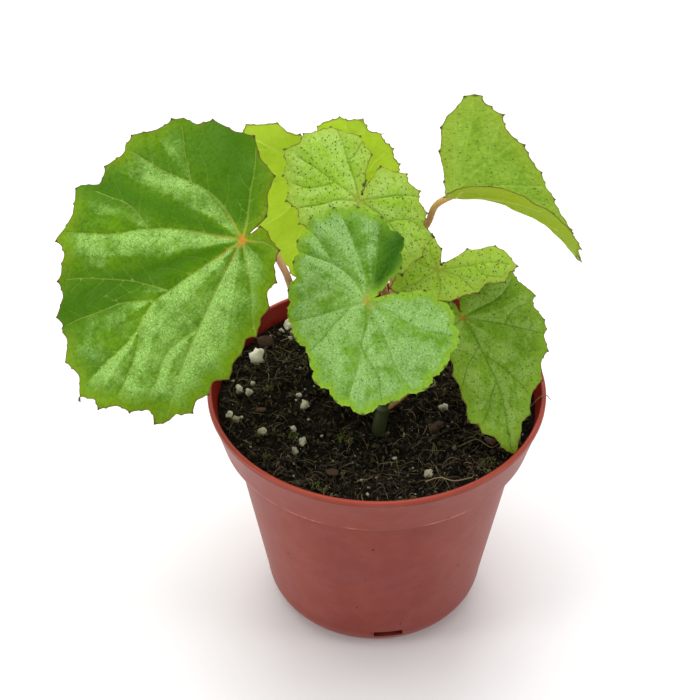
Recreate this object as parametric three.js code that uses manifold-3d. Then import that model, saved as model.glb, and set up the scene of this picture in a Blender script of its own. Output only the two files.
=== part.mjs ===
// A young begonia in a 10 cm plastic nursery pot: pot, potting soil, main stem, and eight leaves,
// each a blade on its own petiole.
// Millimetres, +Z up. The origin is the centre of the pot's base, on the surface that it stands on.
// The front of the plant faces -Y, and +X is to its right.
import * as THREE from "three";
import { mergeVertices } from "three/addons/utils/BufferGeometryUtils.js";
import Module from "manifold-3d";

const wasm = await Module();
wasm.setup();

// Pot
const POT_HEIGHT = 81;
const RIM_RADIUS = 50;
const LIP_HEIGHT = 1.8;
const LIP_REACH = 0.5;
const WALL = 1.3;
const FLOOR = 1.8;
const COLLAR_HEIGHT = 14;
const COLLAR_FOOT_RADIUS = 46.7;
const BODY_TOP_RADIUS = 43.3;
const BODY_FOOT_RADIUS = 34.4;
const CORNER_RADIUS = 10;
const CORNER_STEPS = 4;
const EDGE_ROUNDING = 0.5;
const SECTORS = 40;
const SLOTS = 3;
const SLOT_WIDTH = 9;
const SLOT_HEIGHT = 2.6;
const SLOT_Z = 8;
const FIRST_SLOT_AZIMUTH = -82;

// Potting soil
const SOIL_DEPTH_BELOW_RIM = 6;
const SOIL_RELIEF = 1.1;
const SOIL_WAVES = [
  { size: 0.25, along: [0.19, 0.16], phase: 0.9 },
  { size: 0.25, along: [0.19, -0.16], phase: 1.7 },
  { size: 0.3, along: [0.53, -0.31], phase: 0 },
  { size: 0.2, along: [0.22, 0.71], phase: 2 },
];
const SOIL_LEVEL_EDGE = 6;
const SOIL_RINGS = 9;
const SOIL_SIDE_STEPS = 3;
const GRAIN_SINK = 0.25;
const RANDOM_GRAINS = 12;
const GRAIN_RADII = [1.1, 1.9];
const GRAIN_WIDTHS = [0.75, 1.05];
const GRAIN_HEIGHTS = [0.7, 0.9];
const GRAINS_FROM_WALL = 5;
const GRAINLESS_CENTRE = 0.25;
const GRAIN_SEEDS = { distance: 11, turn: 12, radius: 13, shape: 30 };

// Stem and petioles
const STEM_HOLE_DEPTH = 13;
const STEM_SIDES = 10;
const STEM_STEPS = 14;
const STEM_FOOT_RADIUS = 2.2;
const STEM_TIP_RADIUS = 1.6;
const STEM_TIP_ROUNDING = 0.07;
const STEM_TIP_FLAT = 0.35;
const PETIOLE_SIDES = 8;
const PETIOLE_STEPS = 12;
const PETIOLE_FOOT_RADIUS = 1.25;
const PETIOLE_HEAD_RADIUS = 0.9;
const PETIOLE_SET_OFF = 3.6;
const PETIOLE_RISE = 2.2;

// Leaf blades
const BLADE_THICKNESS = 0.8;
const BLADE_RINGS = [0.3, 0.6, 0.84, 1];
const SURFACE_STEPS = 12;
const NORMAL_REACH = 0.5;
const RUFFLE_RADIUS = 30;
const EDGE_SAMPLES = 180;
const TOOTH_SPREAD = 0.5;
const TOOTH_TIPS = [0.1, 0.75];
const NOTCH = -0.6;
const FULL_TEETH_RADIUS = 15;

// What touches keeps this much clearance.
const GAP = 0.3;

const SOIL_TOP = POT_HEIGHT - SOIL_DEPTH_BELOW_RIM;
const vec = (x, y, z) => new THREE.Vector3(x, y, z);
const radians = THREE.MathUtils.degToRad;
const mix = THREE.MathUtils.lerp;

// A repeatable pseudo-random number from 0 to 1.
function draw(index, seed) {
  const wave = Math.sin(index * 12.9898 + seed * 78.233) * 43758.5453;
  return wave - Math.floor(wave);
}

// Solids and geometries

function toSolid(geometry) {
  const bare = new THREE.BufferGeometry();
  bare.setAttribute("position", geometry.getAttribute("position"));
  bare.setIndex(geometry.index);
  const merged = mergeVertices(bare, 1e-4);
  return new wasm.Manifold(
    new wasm.Mesh({
      numProp: 3,
      vertProperties: merged.getAttribute("position").array,
      triVerts: new Uint32Array(merged.index.array),
    }),
  );
}

function toGeometry(solid) {
  const mesh = solid.getMesh();
  const geometry = new THREE.BufferGeometry();
  geometry.setAttribute("position", new THREE.BufferAttribute(mesh.vertProperties, mesh.numProp));
  geometry.setIndex(new THREE.BufferAttribute(mesh.triVerts, 1));
  geometry.computeVertexNormals();
  return geometry;
}

function largestBody(solid) {
  const bodies = solid.decompose();
  return bodies.reduce((best, body) => (body.volume() > best.volume() ? body : best));
}

function fromFaces(points, faces) {
  const geometry = new THREE.BufferGeometry();
  const flat = points.flatMap((point) => point.toArray());
  geometry.setAttribute("position", new THREE.Float32BufferAttribute(flat, 3));
  geometry.setIndex(faces);
  geometry.computeVertexNormals();
  return geometry;
}

// A closed round tube along a curve, with its radius given along the way.
function tube(curve, radiusAt, sides, steps) {
  const frames = curve.computeFrenetFrames(steps, false);
  const points = [];
  const faces = [];
  for (let i = 0; i <= steps; i++) {
    const centre = curve.getPointAt(i / steps);
    const radius = radiusAt(i / steps);
    for (let j = 0; j < sides; j++) {
      const turn = (2 * Math.PI * j) / sides;
      const point = centre.clone();
      point.addScaledVector(frames.normals[i], radius * Math.cos(turn));
      point.addScaledVector(frames.binormals[i], radius * Math.sin(turn));
      points.push(point);
    }
  }
  for (let i = 0; i < steps; i++) {
    for (let j = 0; j < sides; j++) {
      const a = i * sides + j;
      const b = i * sides + ((j + 1) % sides);
      faces.push(a, b, b + sides, a, b + sides, a + sides);
    }
  }
  const last = steps * sides;
  for (let j = 1; j < sides - 1; j++) {
    faces.push(0, j + 1, j);
    faces.push(last, last + j, last + j + 1);
  }
  return fromFaces(points, faces);
}

// Pot

// The outside of the body between the base and the collar: radius at a height.
function bodyRadius(z) {
  const top = POT_HEIGHT - COLLAR_HEIGHT;
  return THREE.MathUtils.mapLinear(z, CORNER_RADIUS, top, BODY_FOOT_RADIUS, BODY_TOP_RADIUS);
}

// The inside of the wall: radius at a height above the floor's rounded corner.
function innerRadius(z) {
  const top = POT_HEIGHT - COLLAR_HEIGHT;
  if (z <= top) return bodyRadius(z) - WALL;
  const lipFoot = POT_HEIGHT - LIP_HEIGHT;
  const start = COLLAR_FOOT_RADIUS - WALL;
  const end = RIM_RADIUS - LIP_REACH - WALL;
  return THREE.MathUtils.mapLinear(z, top + WALL, lipFoot, start, end);
}

function cornerArc(radius, centreRadius, centreHeight) {
  const points = [];
  for (let i = 0; i <= CORNER_STEPS; i++) {
    const turn = (Math.PI / 2) * (i / CORNER_STEPS);
    const x = centreRadius + radius * Math.sin(turn);
    points.push(new THREE.Vector2(x, centreHeight - radius * Math.cos(turn)));
  }
  return points;
}

function potProfile() {
  const collarFoot = POT_HEIGHT - COLLAR_HEIGHT;
  const lipFoot = POT_HEIGHT - LIP_HEIGHT;
  const cornerCentre = BODY_FOOT_RADIUS - CORNER_RADIUS;
  const innerCorner = CORNER_RADIUS - WALL;
  const outside = [
    new THREE.Vector2(0, 0),
    ...cornerArc(CORNER_RADIUS, cornerCentre, CORNER_RADIUS),
    new THREE.Vector2(BODY_TOP_RADIUS, collarFoot - EDGE_ROUNDING),
    new THREE.Vector2(COLLAR_FOOT_RADIUS - EDGE_ROUNDING, collarFoot),
    new THREE.Vector2(COLLAR_FOOT_RADIUS, collarFoot + EDGE_ROUNDING),
    new THREE.Vector2(RIM_RADIUS - LIP_REACH, lipFoot - EDGE_ROUNDING),
    new THREE.Vector2(RIM_RADIUS, lipFoot),
    new THREE.Vector2(RIM_RADIUS, POT_HEIGHT - EDGE_ROUNDING),
    new THREE.Vector2(RIM_RADIUS - EDGE_ROUNDING, POT_HEIGHT),
  ];
  const inside = [
    new THREE.Vector2(RIM_RADIUS - LIP_REACH - WALL + EDGE_ROUNDING, POT_HEIGHT),
    new THREE.Vector2(innerRadius(lipFoot), lipFoot),
    new THREE.Vector2(innerRadius(collarFoot + WALL), collarFoot + WALL),
    new THREE.Vector2(innerRadius(collarFoot), collarFoot - EDGE_ROUNDING),
    ...cornerArc(innerCorner, cornerCentre, FLOOR + innerCorner).reverse(),
    new THREE.Vector2(0, FLOOR),
  ];
  return [...outside, ...inside];
}

function potGeometry() {
  const lathe = new THREE.LatheGeometry(potProfile(), SECTORS);
  lathe.rotateX(Math.PI / 2);
  let pot = toSolid(lathe);
  for (let i = 0; i < SLOTS; i++) {
    const azimuth = radians(FIRST_SLOT_AZIMUTH + (360 * i) / SLOTS);
    const slot = new THREE.BoxGeometry(2 * CORNER_RADIUS, SLOT_WIDTH, SLOT_HEIGHT);
    slot.translate(BODY_FOOT_RADIUS, 0, SLOT_Z);
    slot.rotateZ(azimuth);
    pot = pot.subtract(toSolid(slot));
  }
  return toGeometry(pot);
}

// Potting soil

// Low mounds and hollows, down to a level ring along the wall.
function soilHeight(x, y) {
  const fromWall = innerRadius(SOIL_TOP) - GAP - Math.hypot(x, y);
  const fade = THREE.MathUtils.smoothstep(fromWall, 0, SOIL_LEVEL_EDGE);
  let relief = 0;
  for (const { size, along, phase } of SOIL_WAVES) {
    relief += size * Math.sin(along[0] * x + along[1] * y + phase);
  }
  return SOIL_TOP + fade * SOIL_RELIEF * relief;
}

function soilBody() {
  const points = [vec(0, 0, soilHeight(0, 0))];
  const faces = [];
  const rimOfSoil = innerRadius(SOIL_TOP) - GAP;
  const floorCorner = BODY_FOOT_RADIUS - CORNER_RADIUS;
  const cornerTop = FLOOR + CORNER_RADIUS;
  const rings = [];
  for (let i = 1; i <= SOIL_RINGS; i++) {
    rings.push({ radius: (rimOfSoil * i) / SOIL_RINGS, height: null });
  }
  const collarFoot = POT_HEIGHT - COLLAR_HEIGHT;
  const stepTop = collarFoot + WALL;
  rings.push({ radius: innerRadius(stepTop) - GAP, height: stepTop + GAP });
  rings.push({ radius: innerRadius(collarFoot) - GAP, height: collarFoot - EDGE_ROUNDING + GAP });
  for (let i = 1; i <= SOIL_SIDE_STEPS; i++) {
    const z = mix(collarFoot, cornerTop, i / SOIL_SIDE_STEPS);
    rings.push({ radius: innerRadius(z) - GAP, height: z });
  }
  rings.push({ radius: (floorCorner + BODY_FOOT_RADIUS) / 2, height: FLOOR + CORNER_RADIUS / 4 });
  rings.push({ radius: floorCorner, height: FLOOR + GAP });
  for (const { radius, height } of rings) {
    for (let j = 0; j < SECTORS; j++) {
      const turn = (2 * Math.PI * j) / SECTORS;
      const x = radius * Math.cos(turn);
      const y = radius * Math.sin(turn);
      points.push(vec(x, y, height ?? soilHeight(x, y)));
    }
  }
  for (let j = 0; j < SECTORS; j++) {
    const next = (j + 1) % SECTORS;
    faces.push(0, 1 + j, 1 + next);
    for (let i = 0; i < rings.length - 1; i++) {
      const a = 1 + i * SECTORS + j;
      const b = 1 + i * SECTORS + next;
      faces.push(a, a + SECTORS, b, b, a + SECTORS, b + SECTORS);
    }
  }
  const foot = points.length;
  points.push(vec(0, 0, FLOOR + GAP));
  for (let j = 0; j < SECTORS; j++) {
    const next = (j + 1) % SECTORS;
    faces.push(foot, foot - SECTORS + next, foot - SECTORS + j);
  }
  return toSolid(fromFaces(points, faces));
}

// The largest perlite grains as they lie: x, y and radius.
const PLACED_GRAINS = [
  [-37, 17, 3],
  [-28, 33, 1.8],
  [-41, 2, 1.9],
  [-38, 1, 1.7],
  [-23, 0, 1.3],
  [-43, -9, 1.6],
  [-41, -11, 1.5],
  [-33, -16, 1.9],
  [-24, -14, 1.5],
  [-21, -21, 1.7],
  [-23, -24, 1.4],
  [20, -4, 2],
  [15, -32, 1.8],
];

// A lumpy grain, sunk a little into the soil.
function grain(x, y, radius, seed) {
  const lump = new THREE.IcosahedronGeometry(radius, 0);
  lump.scale(1, mix(...GRAIN_WIDTHS, draw(1, seed)), mix(...GRAIN_HEIGHTS, draw(2, seed)));
  lump.rotateX(Math.PI * draw(3, seed));
  lump.rotateZ(2 * Math.PI * draw(4, seed));
  lump.translate(x, y, soilHeight(x, y) + radius * GRAIN_SINK);
  return toSolid(lump);
}

function soilGeometry(stemHole) {
  let soil = soilBody();
  PLACED_GRAINS.forEach(([x, y, radius], i) => {
    soil = soil.add(grain(x, y, radius, i));
  });
  const reach = innerRadius(SOIL_TOP) - GRAINS_FROM_WALL;
  for (let i = 0; i < RANDOM_GRAINS; i++) {
    const distance = reach * Math.sqrt(mix(GRAINLESS_CENTRE ** 2, 1, draw(i, GRAIN_SEEDS.distance)));
    const turn = 2 * Math.PI * draw(i, GRAIN_SEEDS.turn);
    const radius = mix(...GRAIN_RADII, draw(i, GRAIN_SEEDS.radius) ** 2);
    const x = distance * Math.cos(turn);
    const y = distance * Math.sin(turn);
    soil = soil.add(grain(x, y, radius, GRAIN_SEEDS.shape + i));
  }
  return toGeometry(largestBody(soil.subtract(stemHole)));
}

// Main stem

const STEM_LINE = new THREE.CatmullRomCurve3([
  vec(0.9, -13.5, SOIL_TOP - STEM_HOLE_DEPTH),
  vec(0.9, -13.5, SOIL_TOP),
  vec(2.4, -11, 85),
  vec(2.5, -7.5, 93),
  vec(2.2, -3.5, 101),
]);

// Tapers upwards to a rounded bud at the tip.
function stemRadius(t) {
  const taper = mix(STEM_FOOT_RADIUS, STEM_TIP_RADIUS, t);
  const fromTip = Math.min((1 - t) / STEM_TIP_ROUNDING, 1);
  return taper * mix(STEM_TIP_FLAT, 1, Math.sqrt(fromTip * (2 - fromTip)));
}

function stemSolid(extra) {
  return toSolid(tube(STEM_LINE, (t) => stemRadius(t) + extra, STEM_SIDES, STEM_STEPS));
}

function stemHoleSolid() {
  const foot = STEM_LINE.getPoint(0);
  const height = 2 * STEM_HOLE_DEPTH;
  const radius = (STEM_FOOT_RADIUS + GAP) / Math.cos(Math.PI / STEM_SIDES);
  const hole = new THREE.CylinderGeometry(radius, radius, height, STEM_SIDES);
  hole.rotateX(Math.PI / 2);
  hole.translate(foot.x, foot.y, foot.z - GAP + height / 2);
  return toSolid(hole);
}

// Leaves
//
// Each blade lies in its own frame: x runs along the midrib from the petiole, y to the midrib's left
// as seen from above, z out of the upper face. heading, pitch and roll (degrees) turn that frame.
// outline: [degrees from the midrib, mm from the petiole], left of the midrib positive.
// bend: how fast the midrib turns down (degrees per mm), and bendGrowth how that changes along it.
// fold and crease: each half's angle to the midrib's plane, and how fast it is reached (mm).
// curl: each half's further bending upwards (degrees per mm). Pairs give the left half first.
// teeth: the number along each half's edge, and their depth (mm).
// ruffle: the edge's waves: height 30 mm from the petiole, number round the blade, and phase.
// foot: how far up the stem the petiole leaves it, and in which direction (degrees, 0 is +X).
// route: points on the petiole's way.
const LEAVES = [
  {
    name: "left",
    colour: 0x3f8a2c,
    junction: vec(-35.9, -12, 140.8),
    heading: -150,
    pitch: -32,
    roll: -32,
    bend: 0.3,
    curl: [-1.1, -0.2],
    ruffle: [0.8, 7, 0.5],
    teeth: 13,
    toothDepth: 2.2,
    outline: [
      [-174, 9], [-160, 16], [-145, 23.5], [-130, 30.5], [-116, 35], [-100, 39], [-85, 43.3], [-70, 45],
      [-55, 50.3], [-38, 51.8], [-20, 58], [-8, 61], [4, 60], [15, 54.5], [24, 52.8], [36, 39.8],
      [50, 28], [62, 23], [78, 16], [100, 12], [125, 9], [150, 7.5], [172, 5.5], [180, 2.5],
    ],
    foot: [0.55, 175],
    route: [vec(-9.5, -6.5, 97), vec(-21.3, -7, 113.5), vec(-25.8, -5, 126), vec(-30.5, -6, 136)],
  },
  {
    name: "top",
    colour: 0x86b95a,
    junction: vec(-5.6, 14, 136.2),
    heading: -112,
    pitch: -35,
    roll: -20,
    bend: 0.3,
    curl: [-0.3, -0.6],
    ruffle: [0.7, 6, 1],
    teeth: 11,
    toothDepth: 1.3,
    outline: [
      [-174, 14.5], [-164, 18.5], [-150, 22], [-134, 24], [-120, 25], [-105, 25], [-90, 21.5],
      [-70, 19], [-45, 17], [-20, 17.5], [0, 19], [20, 20.5], [45, 22.5], [60, 23.5], [78, 22.8],
      [92, 20.2], [110, 18], [125, 16.5], [140, 15.5], [152, 14], [170, 11], [180, 1.8],
    ],
    foot: [0.88, 165],
    route: [vec(-4, 3.5, 109), vec(-5.5, 12, 122), vec(-5.2, 17, 131)],
  },
  {
    name: "front",
    colour: 0x5fae4a,
    junction: vec(-2.9, -14, 122.5),
    heading: -113,
    pitch: -42,
    roll: -12,
    bend: 0.5,
    curl: [-0.4, -0.4],
    ruffle: [0.8, 6, 0],
    teeth: 12,
    toothDepth: 1.3,
    outline: [
      [-175, 22.5], [-165, 25], [-150, 27.5], [-135, 28.5], [-120, 26.5], [-105, 23.3], [-90, 21.5],
      [-75, 21.8], [-60, 22.3], [-45, 21.5], [-30, 21.5], [-18, 25.3], [-8, 26.5], [2, 28.7], [14, 30],
      [22, 29.4], [31, 28], [45, 28.2], [60, 28], [75, 27.4], [88, 25.8], [100, 23], [110, 19.5],
      [118, 15], [126, 4], [134, 1.8], [144, 5], [155, 13], [170, 20],
    ],
    foot: [0.755, 225],
    route: [vec(-1.3, -9.5, 106), vec(-1.8, -9.5, 116)],
  },
  {
    name: "right_middle",
    colour: 0x90c05c,
    junction: vec(17.1, 10, 115.5),
    heading: -109,
    pitch: -22,
    roll: -9,
    bend: 0.3,
    curl: [0, 0],
    ruffle: [0.6, 5, 0.4],
    teeth: 8,
    toothDepth: 1.1,
    outline: [
      [-175, 5], [-165, 8.5], [-150, 12.5], [-135, 10.5], [-110, 8.5], [-80, 11], [-40, 14.5],
      [0, 11.5], [30, 10], [60, 11.5], [85, 14], [98, 18.3], [108, 21], [117, 22], [126, 21.2],
      [136, 18.3], [146, 11], [155, 3.5], [166, 1.5], [178, 3],
    ],
    foot: [0.7, 15],
    route: [vec(11.5, 0, 102), vec(15.8, 8, 109.5)],
  },
  {
    name: "right_low",
    colour: 0x6fa94c,
    junction: vec(24.1, 0, 106.1),
    heading: -66,
    pitch: -35,
    roll: -3,
    bend: 0.4,
    curl: [-0.4, -0.4],
    ruffle: [0.5, 6, 2],
    teeth: 10,
    toothDepth: 1.4,
    outline: [
      [-165, 6], [-140, 9], [-110, 10], [-80, 10], [-50, 10.3], [-35, 14], [-22, 21], [-14, 28.5],
      [-6, 34], [0, 37.7], [5, 41], [10, 37.3], [18, 34], [26, 31.2], [38, 29.3], [52, 27.3],
      [65, 26.9], [76, 26.3], [90, 24.6], [104, 24], [118, 22], [132, 16.5], [150, 9], [168, 5],
      [180, 1.8],
    ],
    foot: [0.49, 10],
    route: [vec(14.5, -6.5, 92), vec(21, -0.8, 99.5)],
  },
  {
    name: "right_arched",
    colour: 0x78b04e,
    junction: vec(20.2, 8, 142.6),
    heading: -8,
    pitch: 10,
    roll: 0,
    bend: 1.9,
    bendGrowth: -0.01,
    fold: [48, 46],
    crease: 2,
    curl: [0, 0],
    ruffle: [0.5, 6, 1.2],
    teeth: 10,
    toothDepth: 1.1,
    outline: [
      [-150, 2.8], [-115, 3.5], [-95, 7], [-78, 15], [-62, 22], [-50, 24.5], [-35, 30], [-20, 35.2],
      [-8, 38.3], [0, 41], [8, 32.8], [15, 27], [22, 25.3], [30, 23.8], [42, 22.2], [55, 22],
      [70, 24.3], [82, 28.2], [90, 24.5], [98, 18], [107, 9.5], [117, 5], [130, 3.2], [180, 2.2],
    ],
    foot: [0.92, 50],
    route: [
      vec(3.6, 3, 106),
      vec(1.3, 9, 113),
      vec(6.5, 16.7, 119),
      vec(13.2, 16.5, 126),
      vec(15.8, 12.5, 136),
    ],
  },
  {
    name: "back_left",
    colour: 0xa8c23c,
    junction: vec(-17.2, 36, 129.3),
    heading: -172,
    pitch: -10,
    roll: 80,
    bend: 0.3,
    curl: [-0.2, -0.2],
    ruffle: [0.7, 5, 0.8],
    teeth: 10,
    toothDepth: 1.3,
    outline: [
      [-165, 9], [-140, 13], [-115, 21], [-95, 29.5], [-80, 36], [-69, 39], [-60, 35.5], [-50, 30.5],
      [-42, 27], [-25, 25.5], [0, 26.5], [20, 28], [40, 31.5], [56, 32.5], [68, 27.5], [80, 18.5],
      [100, 13], [130, 12], [160, 9], [180, 2],
    ],
    foot: [0.78, 95],
    route: [vec(-1.2, 9, 103), vec(-12.3, 32.5, 123.5)],
  },
  {
    name: "back_right",
    colour: 0xa2bd38,
    junction: vec(-7.9, 43, 123.4),
    heading: -19,
    pitch: 65,
    roll: -80,
    bend: 0.2,
    curl: [-0.2, -0.2],
    ruffle: [0.6, 5, 0.2],
    teeth: 9,
    toothDepth: 1.1,
    outline: [
      [-165, 9], [-140, 13], [-110, 15], [-85, 17], [-60, 19.5], [-45, 22.5], [-28, 24], [-12, 22],
      [0, 20], [20, 17.5], [45, 15.5], [65, 14], [90, 13.5], [120, 13], [150, 11], [168, 8], [180, 2],
    ],
    foot: [0.61, 90],
    route: [vec(4.2, 6, 98), vec(4, 24, 107), vec(0, 38.5, 115)],
  },
];

// The blade's edge as a smooth closed curve round the petiole, through the outline's points:
// a cubic between each pair of angles that doesn't swing past either.
function edgeRadius(leaf, angle) {
  const points = leaf.outline;
  const count = points.length;
  const at = (i) => {
    const turns = Math.floor(i / count);
    const [degrees, radius] = points[i - turns * count];
    return [degrees + 360 * turns, radius];
  };
  let i = -1;
  while (at(i + 1)[0] <= angle) i++;
  const slope = (k) => (at(k + 1)[1] - at(k)[1]) / (at(k + 1)[0] - at(k)[0]);
  const tangent = (k) => {
    const before = slope(k - 1);
    const after = slope(k);
    return before * after <= 0 ? 0 : (2 * before * after) / (before + after);
  };
  const [a0, r0] = at(i);
  const [a1, r1] = at(i + 1);
  const span = a1 - a0;
  const t = (angle - a0) / span;
  const start = (1 + 2 * t) * (1 - t) ** 2 * r0 + t * (1 - t) ** 2 * span * tangent(i);
  const end = t * t * (3 - 2 * t) * r1 + t * t * (t - 1) * span * tangent(i + 1);
  return start + end;
}

// One half's edge from the leaf's tip round to the base, cut into equal lengths: teeth stand
// at every second point, each of its own size and a little out of step.
function halfEdge(leaf, side) {
  const steps = 2 * leaf.teeth - 1;
  const seed = side * leaf.heading;
  const walked = [0];
  for (let i = 1; i <= EDGE_SAMPLES; i++) {
    const r0 = edgeRadius(leaf, (side * (i - 1) * 180) / EDGE_SAMPLES);
    const r1 = edgeRadius(leaf, (side * i * 180) / EDGE_SAMPLES);
    walked.push(walked[i - 1] + Math.hypot(r1 - r0, (r1 * Math.PI) / EDGE_SAMPLES));
  }
  const edge = [];
  for (let k = 0; k <= steps; k++) {
    const isTooth = k % 2 === 0;
    const shift = isTooth && k > 0 ? TOOTH_SPREAD * (draw(k, seed) - 0.5) : 0;
    const wanted = (walked[EDGE_SAMPLES] * (k + shift)) / steps;
    let i = 1;
    while (i < EDGE_SAMPLES && walked[i] < wanted) i++;
    const part = (wanted - walked[i - 1]) / (walked[i] - walked[i - 1]);
    const angle = (side * (i - 1 + Math.min(part, 1)) * 180) / EDGE_SAMPLES;
    const base = edgeRadius(leaf, angle);
    const size = leaf.toothDepth * Math.min(base / FULL_TEETH_RADIUS, 1);
    const tooth = isTooth ? mix(...TOOTH_TIPS, draw(k + 0.5, seed)) : NOTCH;
    edge.push({ angle: radians(angle), base, radius: base + size * tooth });
  }
  return edge;
}

// The whole edge, anticlockwise from the base of the right half.
function leafEdge(leaf) {
  const left = halfEdge(leaf, 1);
  const right = halfEdge(leaf, -1).slice(1);
  return [...right.reverse(), ...left.slice(0, -1)];
}

// How far a line runs and rises over a distance along it, when its slope changes on the way.
function walk(distance, slopeAt) {
  let run = 0;
  let rise = 0;
  for (let i = 0; i < SURFACE_STEPS; i++) {
    const slope = radians(slopeAt((distance * (i + 0.5)) / SURFACE_STEPS));
    run += Math.cos(slope) / SURFACE_STEPS;
    rise += Math.sin(slope) / SURFACE_STEPS;
  }
  return [run * distance, rise * distance];
}

// The blade's middle surface at a place on the flat blade.
function bladePoint(leaf, x, y) {
  const half = y >= 0 ? 0 : 1;
  const { bend, bendGrowth = 0, fold = [0, 0], crease = 1, curl, ruffle } = leaf;
  const drop = (d) => bend * d + 0.5 * bendGrowth * d * Math.abs(d);
  const lift = (d) => fold[half] * (1 - Math.exp(-d / crease)) + curl[half] * d;
  const [run, fall] = walk(x, drop);
  const [across, rise] = walk(Math.abs(y), lift);
  const [size, waves, phase] = ruffle;
  const spread = (x * x + y * y) / RUFFLE_RADIUS ** 2;
  const wave = size * Math.sin(waves * Math.atan2(y, x) + phase) * spread;
  const height = rise + wave;
  const tilt = radians(drop(x));
  return vec(run + height * Math.sin(tilt), across * Math.sign(y), height * Math.cos(tilt) - fall);
}

function bladeNormal(leaf, x, y) {
  const alongX = bladePoint(leaf, x + NORMAL_REACH, y).sub(bladePoint(leaf, x - NORMAL_REACH, y));
  const alongY = bladePoint(leaf, x, y + NORMAL_REACH).sub(bladePoint(leaf, x, y - NORMAL_REACH));
  return alongX.cross(alongY).normalize();
}

// Two like faces, rings round the petiole cut into triangles the same way, and the edge between.
function bladeGeometry(leaf, thickness) {
  const edge = leafEdge(leaf);
  const flat = [[0, 0]];
  for (const ring of BLADE_RINGS) {
    for (const { angle, base, radius } of edge) {
      const r = ring === 1 ? radius : ring * base;
      flat.push([r * Math.cos(angle), r * Math.sin(angle)]);
    }
  }
  const face = (offset) =>
    flat.map(([x, y]) => bladePoint(leaf, x, y).addScaledVector(bladeNormal(leaf, x, y), offset));
  const points = [...face(thickness / 2), ...face(-thickness / 2)];
  const count = edge.length;
  const lower = flat.length;
  const faces = [];
  const addBoth = (a, b, c) => faces.push(a, b, c, lower + a, lower + c, lower + b);
  for (let j = 0; j < count; j++) {
    const next = (j + 1) % count;
    addBoth(0, 1 + j, 1 + next);
    for (let i = 0; i < BLADE_RINGS.length - 1; i++) {
      const a = 1 + i * count + j;
      const b = 1 + i * count + next;
      addBoth(a, a + count, b + count);
      addBoth(a, b + count, b);
    }
    const rim = 1 + (BLADE_RINGS.length - 1) * count;
    faces.push(rim + j, lower + rim + j, rim + next);
    faces.push(rim + next, lower + rim + j, lower + rim + next);
  }
  return fromFaces(points, faces);
}

function bladeMesh(leaf) {
  const mesh = new THREE.Mesh(bladeGeometry(leaf, BLADE_THICKNESS), leafMaterial(leaf));
  mesh.name = `leaf_${leaf.name}`;
  mesh.position.copy(leaf.junction);
  mesh.rotation.set(radians(leaf.roll), -radians(leaf.pitch), radians(leaf.heading), "ZYX");
  mesh.updateMatrix();
  return mesh;
}

// From the stem to the blade's lower face, with the same clearance to both.
function petioleMesh(leaf, blade) {
  const [height, azimuth] = leaf.foot;
  const foot = STEM_LINE.getPointAt(height);
  const setOff = vec(PETIOLE_SET_OFF, 0, PETIOLE_RISE).applyAxisAngle(vec(0, 0, 1), radians(azimuth));
  const line = new THREE.CatmullRomCurve3([
    foot,
    setOff.add(foot),
    ...leaf.route,
    leaf.junction,
  ]);
  const radiusAt = (t) => mix(PETIOLE_FOOT_RADIUS, PETIOLE_HEAD_RADIUS, t);
  const thickBlade = bladeGeometry(leaf, BLADE_THICKNESS + 2 * GAP);
  thickBlade.applyMatrix4(blade.matrix);
  const whole = toSolid(tube(line, radiusAt, PETIOLE_SIDES, PETIOLE_STEPS));
  const trimmed = whole.subtract(stemSolid(GAP)).subtract(toSolid(thickBlade));
  const mesh = new THREE.Mesh(toGeometry(largestBody(trimmed)), PETIOLE_MATERIAL);
  mesh.name = `petiole_${leaf.name}`;
  return mesh;
}

// Materials

const POT_MATERIAL = new THREE.MeshStandardMaterial({ color: 0xa8503f, roughness: 0.45, metalness: 0 });
const SOIL_MATERIAL = new THREE.MeshStandardMaterial({ color: 0x2e241b, roughness: 1, metalness: 0 });
const STEM_MATERIAL = new THREE.MeshStandardMaterial({ color: 0x6f7a3c, roughness: 0.6, metalness: 0 });
const PETIOLE_MATERIAL = new THREE.MeshStandardMaterial({ color: 0xa87a5e, roughness: 0.6, metalness: 0 });

function leafMaterial(leaf) {
  return new THREE.MeshStandardMaterial({ color: leaf.colour, roughness: 0.55, metalness: 0 });
}

function named(name, geometry, material) {
  const mesh = new THREE.Mesh(geometry, material);
  mesh.name = name;
  return mesh;
}

const begonia = new THREE.Group();
begonia.add(named("pot", potGeometry(), POT_MATERIAL));

const plant = new THREE.Group();
plant.add(named("potting_soil", soilGeometry(stemHoleSolid()), SOIL_MATERIAL));
plant.add(named("main_stem", toGeometry(stemSolid(0)), STEM_MATERIAL));
for (const leaf of LEAVES) {
  const blade = bladeMesh(leaf);
  plant.add(blade, petioleMesh(leaf, blade));
}
begonia.add(plant);

export default begonia;
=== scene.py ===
# A young begonia in a 10 cm nursery pot: leaves with veins, speckles and bristles, stalks, soil and pot.
# The scene is in metres. The sizes here are millimetres and degrees, as in the part's source.
import math
from types import SimpleNamespace

import bmesh
import bpy
import numpy as np
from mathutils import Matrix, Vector, noise
from mathutils.geometry import delaunay_2d_cdt


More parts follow.
